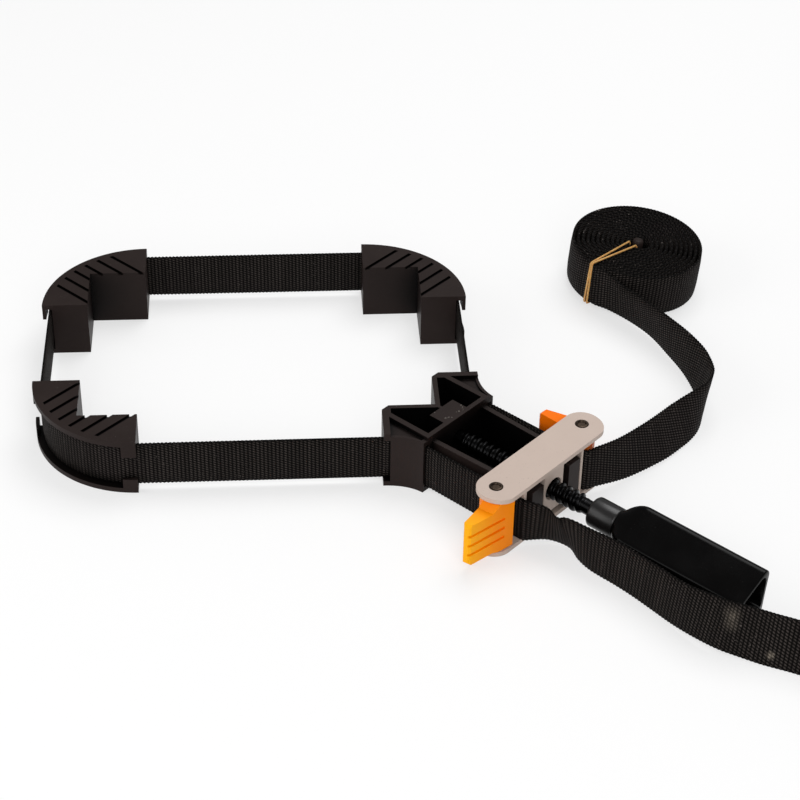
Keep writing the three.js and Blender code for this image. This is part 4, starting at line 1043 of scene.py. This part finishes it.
# Profiles turned about the spindle's axis
turnedPieces = {
    "thrustPad": {
        "node": "thrust_pad", "body": "frame", "slot": "pin_steel", "material": pinSteel,
        "profile": [(7.3, 0), (7.3, 3.4), (7.8, 4.0), (8.9, 4.0), (9.3, 3.5), (9.3, 0)],
    },
    "handleCollar": {
        "node": "handle_collar", "body": "spindle", "slot": "grip_plastic", "material": collarPlastic,
        "profile": [
            (113.4, 0), (113.4, 3.8), (102.3, 3.8), (101.8, 4.1), (101.6, 4.5), (101.6, 6.6), (101.8, 7.2),
            (102.3, 7.6), (103.0, 7.75), (115.9, 7.75), (116.3, 7.65), (116.6, 7.3), (116.6, 0),
        ],
    },
}
for name, item in turnedPieces.items():
    data = turnedMesh(name, axisStart, alongAxis, item["profile"])
    dress(shown(name, data, item["material"]), item["body"], item["slot"], item["node"])

# Grip: a round nose that grows into a three-cornered hollow bar, open at the rear
grip = {
    "front": 116.9, "rear": 194.6, "side": 30, "corner": 3.2, "wall": 2.0, "turn": 53.5,
    "nose": 7.5, "noseGap": 0.2, "noseSteps": 12, "noseGrowth": 1.2, "noseSpacing": 1.4, "taper": 11,
    "floor": 13, "stops": (135, 150, 165, 180),
    "cornerSteps": (3, 6, 8, 10, 12, 14, 17, 21, 28, 36, 44, 52),
}


def triangleRadius(turn, side):
    corner = grip["corner"]
    out = side / math.sqrt(3) - 2 * corner
    local = (turn - math.radians(grip["turn"])) % (2 * math.pi / 3)
    local = min(local, 2 * math.pi / 3 - local)
    flat = (out / 2 + corner) / math.cos(math.pi / 3 - local)
    root = corner**2 - (out * math.sin(local)) ** 2
    if root <= 0:
        return flat
    rounded = out * math.cos(local) + math.sqrt(root)
    x, y = rounded * math.cos(local) - out, rounded * math.sin(local)
    return rounded if math.atan2(y, x) <= math.pi / 3 + 1e-6 else flat


gripSteps = (0, 60, *grip["cornerSteps"], *(-step for step in grip["cornerSteps"]))
gripTurns = sorted(math.radians(grip["turn"] + 120 * k + step) for k in range(3) for step in gripSteps)


def gripRing(u, side, blend=1.0, shrink=0.0):
    ring = []
    for turn in gripTurns:
        radius = (1 - blend) * grip["nose"] + blend * (triangleRadius(turn, side) - shrink)
        ring.append(aroundAxis(u, radius, turn))
    return ring


outerSide = grip["side"]
innerSide = outerSide - 2 * math.sqrt(3) * grip["wall"]
gripRings = [gripRing(grip["front"], outerSide, 0.0)]
for k in range(1, grip["noseSteps"] + 1):
    part = k / grip["noseSteps"]
    grown = math.sin(part * math.pi / 2) ** grip["noseGrowth"]
    u = grip["front"] + grip["noseGap"] + part ** grip["noseSpacing"] * grip["taper"]
    gripRings.append(gripRing(u, outerSide, grown))
gripRings += [gripRing(u, outerSide) for u in grip["stops"]]
# The open rim is rounded: distance from the rear, side, shrink
rim = [
    (0.8, outerSide, 0), (0.25, outerSide, 0.12), (0, outerSide, 0.5),
    (0, innerSide, -0.35), (0.5, innerSide, 0),
]
gripRings += [gripRing(grip["rear"] - back, side, 1.0, shrink) for back, side, shrink in rim]
gripRings.append(gripRing(grip["front"] + grip["floor"], innerSide))
gripPiece = shown("handleGrip", skinned("handleGrip", gripRings), gripPlastic, 50)
dress(gripPiece, "spindle", "grip_plastic", "handle_grip")

# Riveted pivot pins with a sunk centre
pin = {
    "sides": 40,
    "profile": [
        (0.15, 0), (0.15, 2.7), (0.6, 3.2), (35.9, 3.2), (36.25, 3.05), (36.4, 2.75),
        (36.4, 2.35), (36.15, 2.05), (35.7, 1.9), (35.7, 0),
    ],
}
pins = {"frontPin": ("front_pivot_pin", -pivot["w"]), "rearPin": ("rear_pivot_pin", pivot["w"])}
for name, (node, w) in pins.items():
    data = turnedMesh(name, axisPoint(pivot["u"], w, 0), upward, pin["profile"], pin["sides"])
    dress(shown(name, data, pinSteel), "carriage", "pin_steel", node)
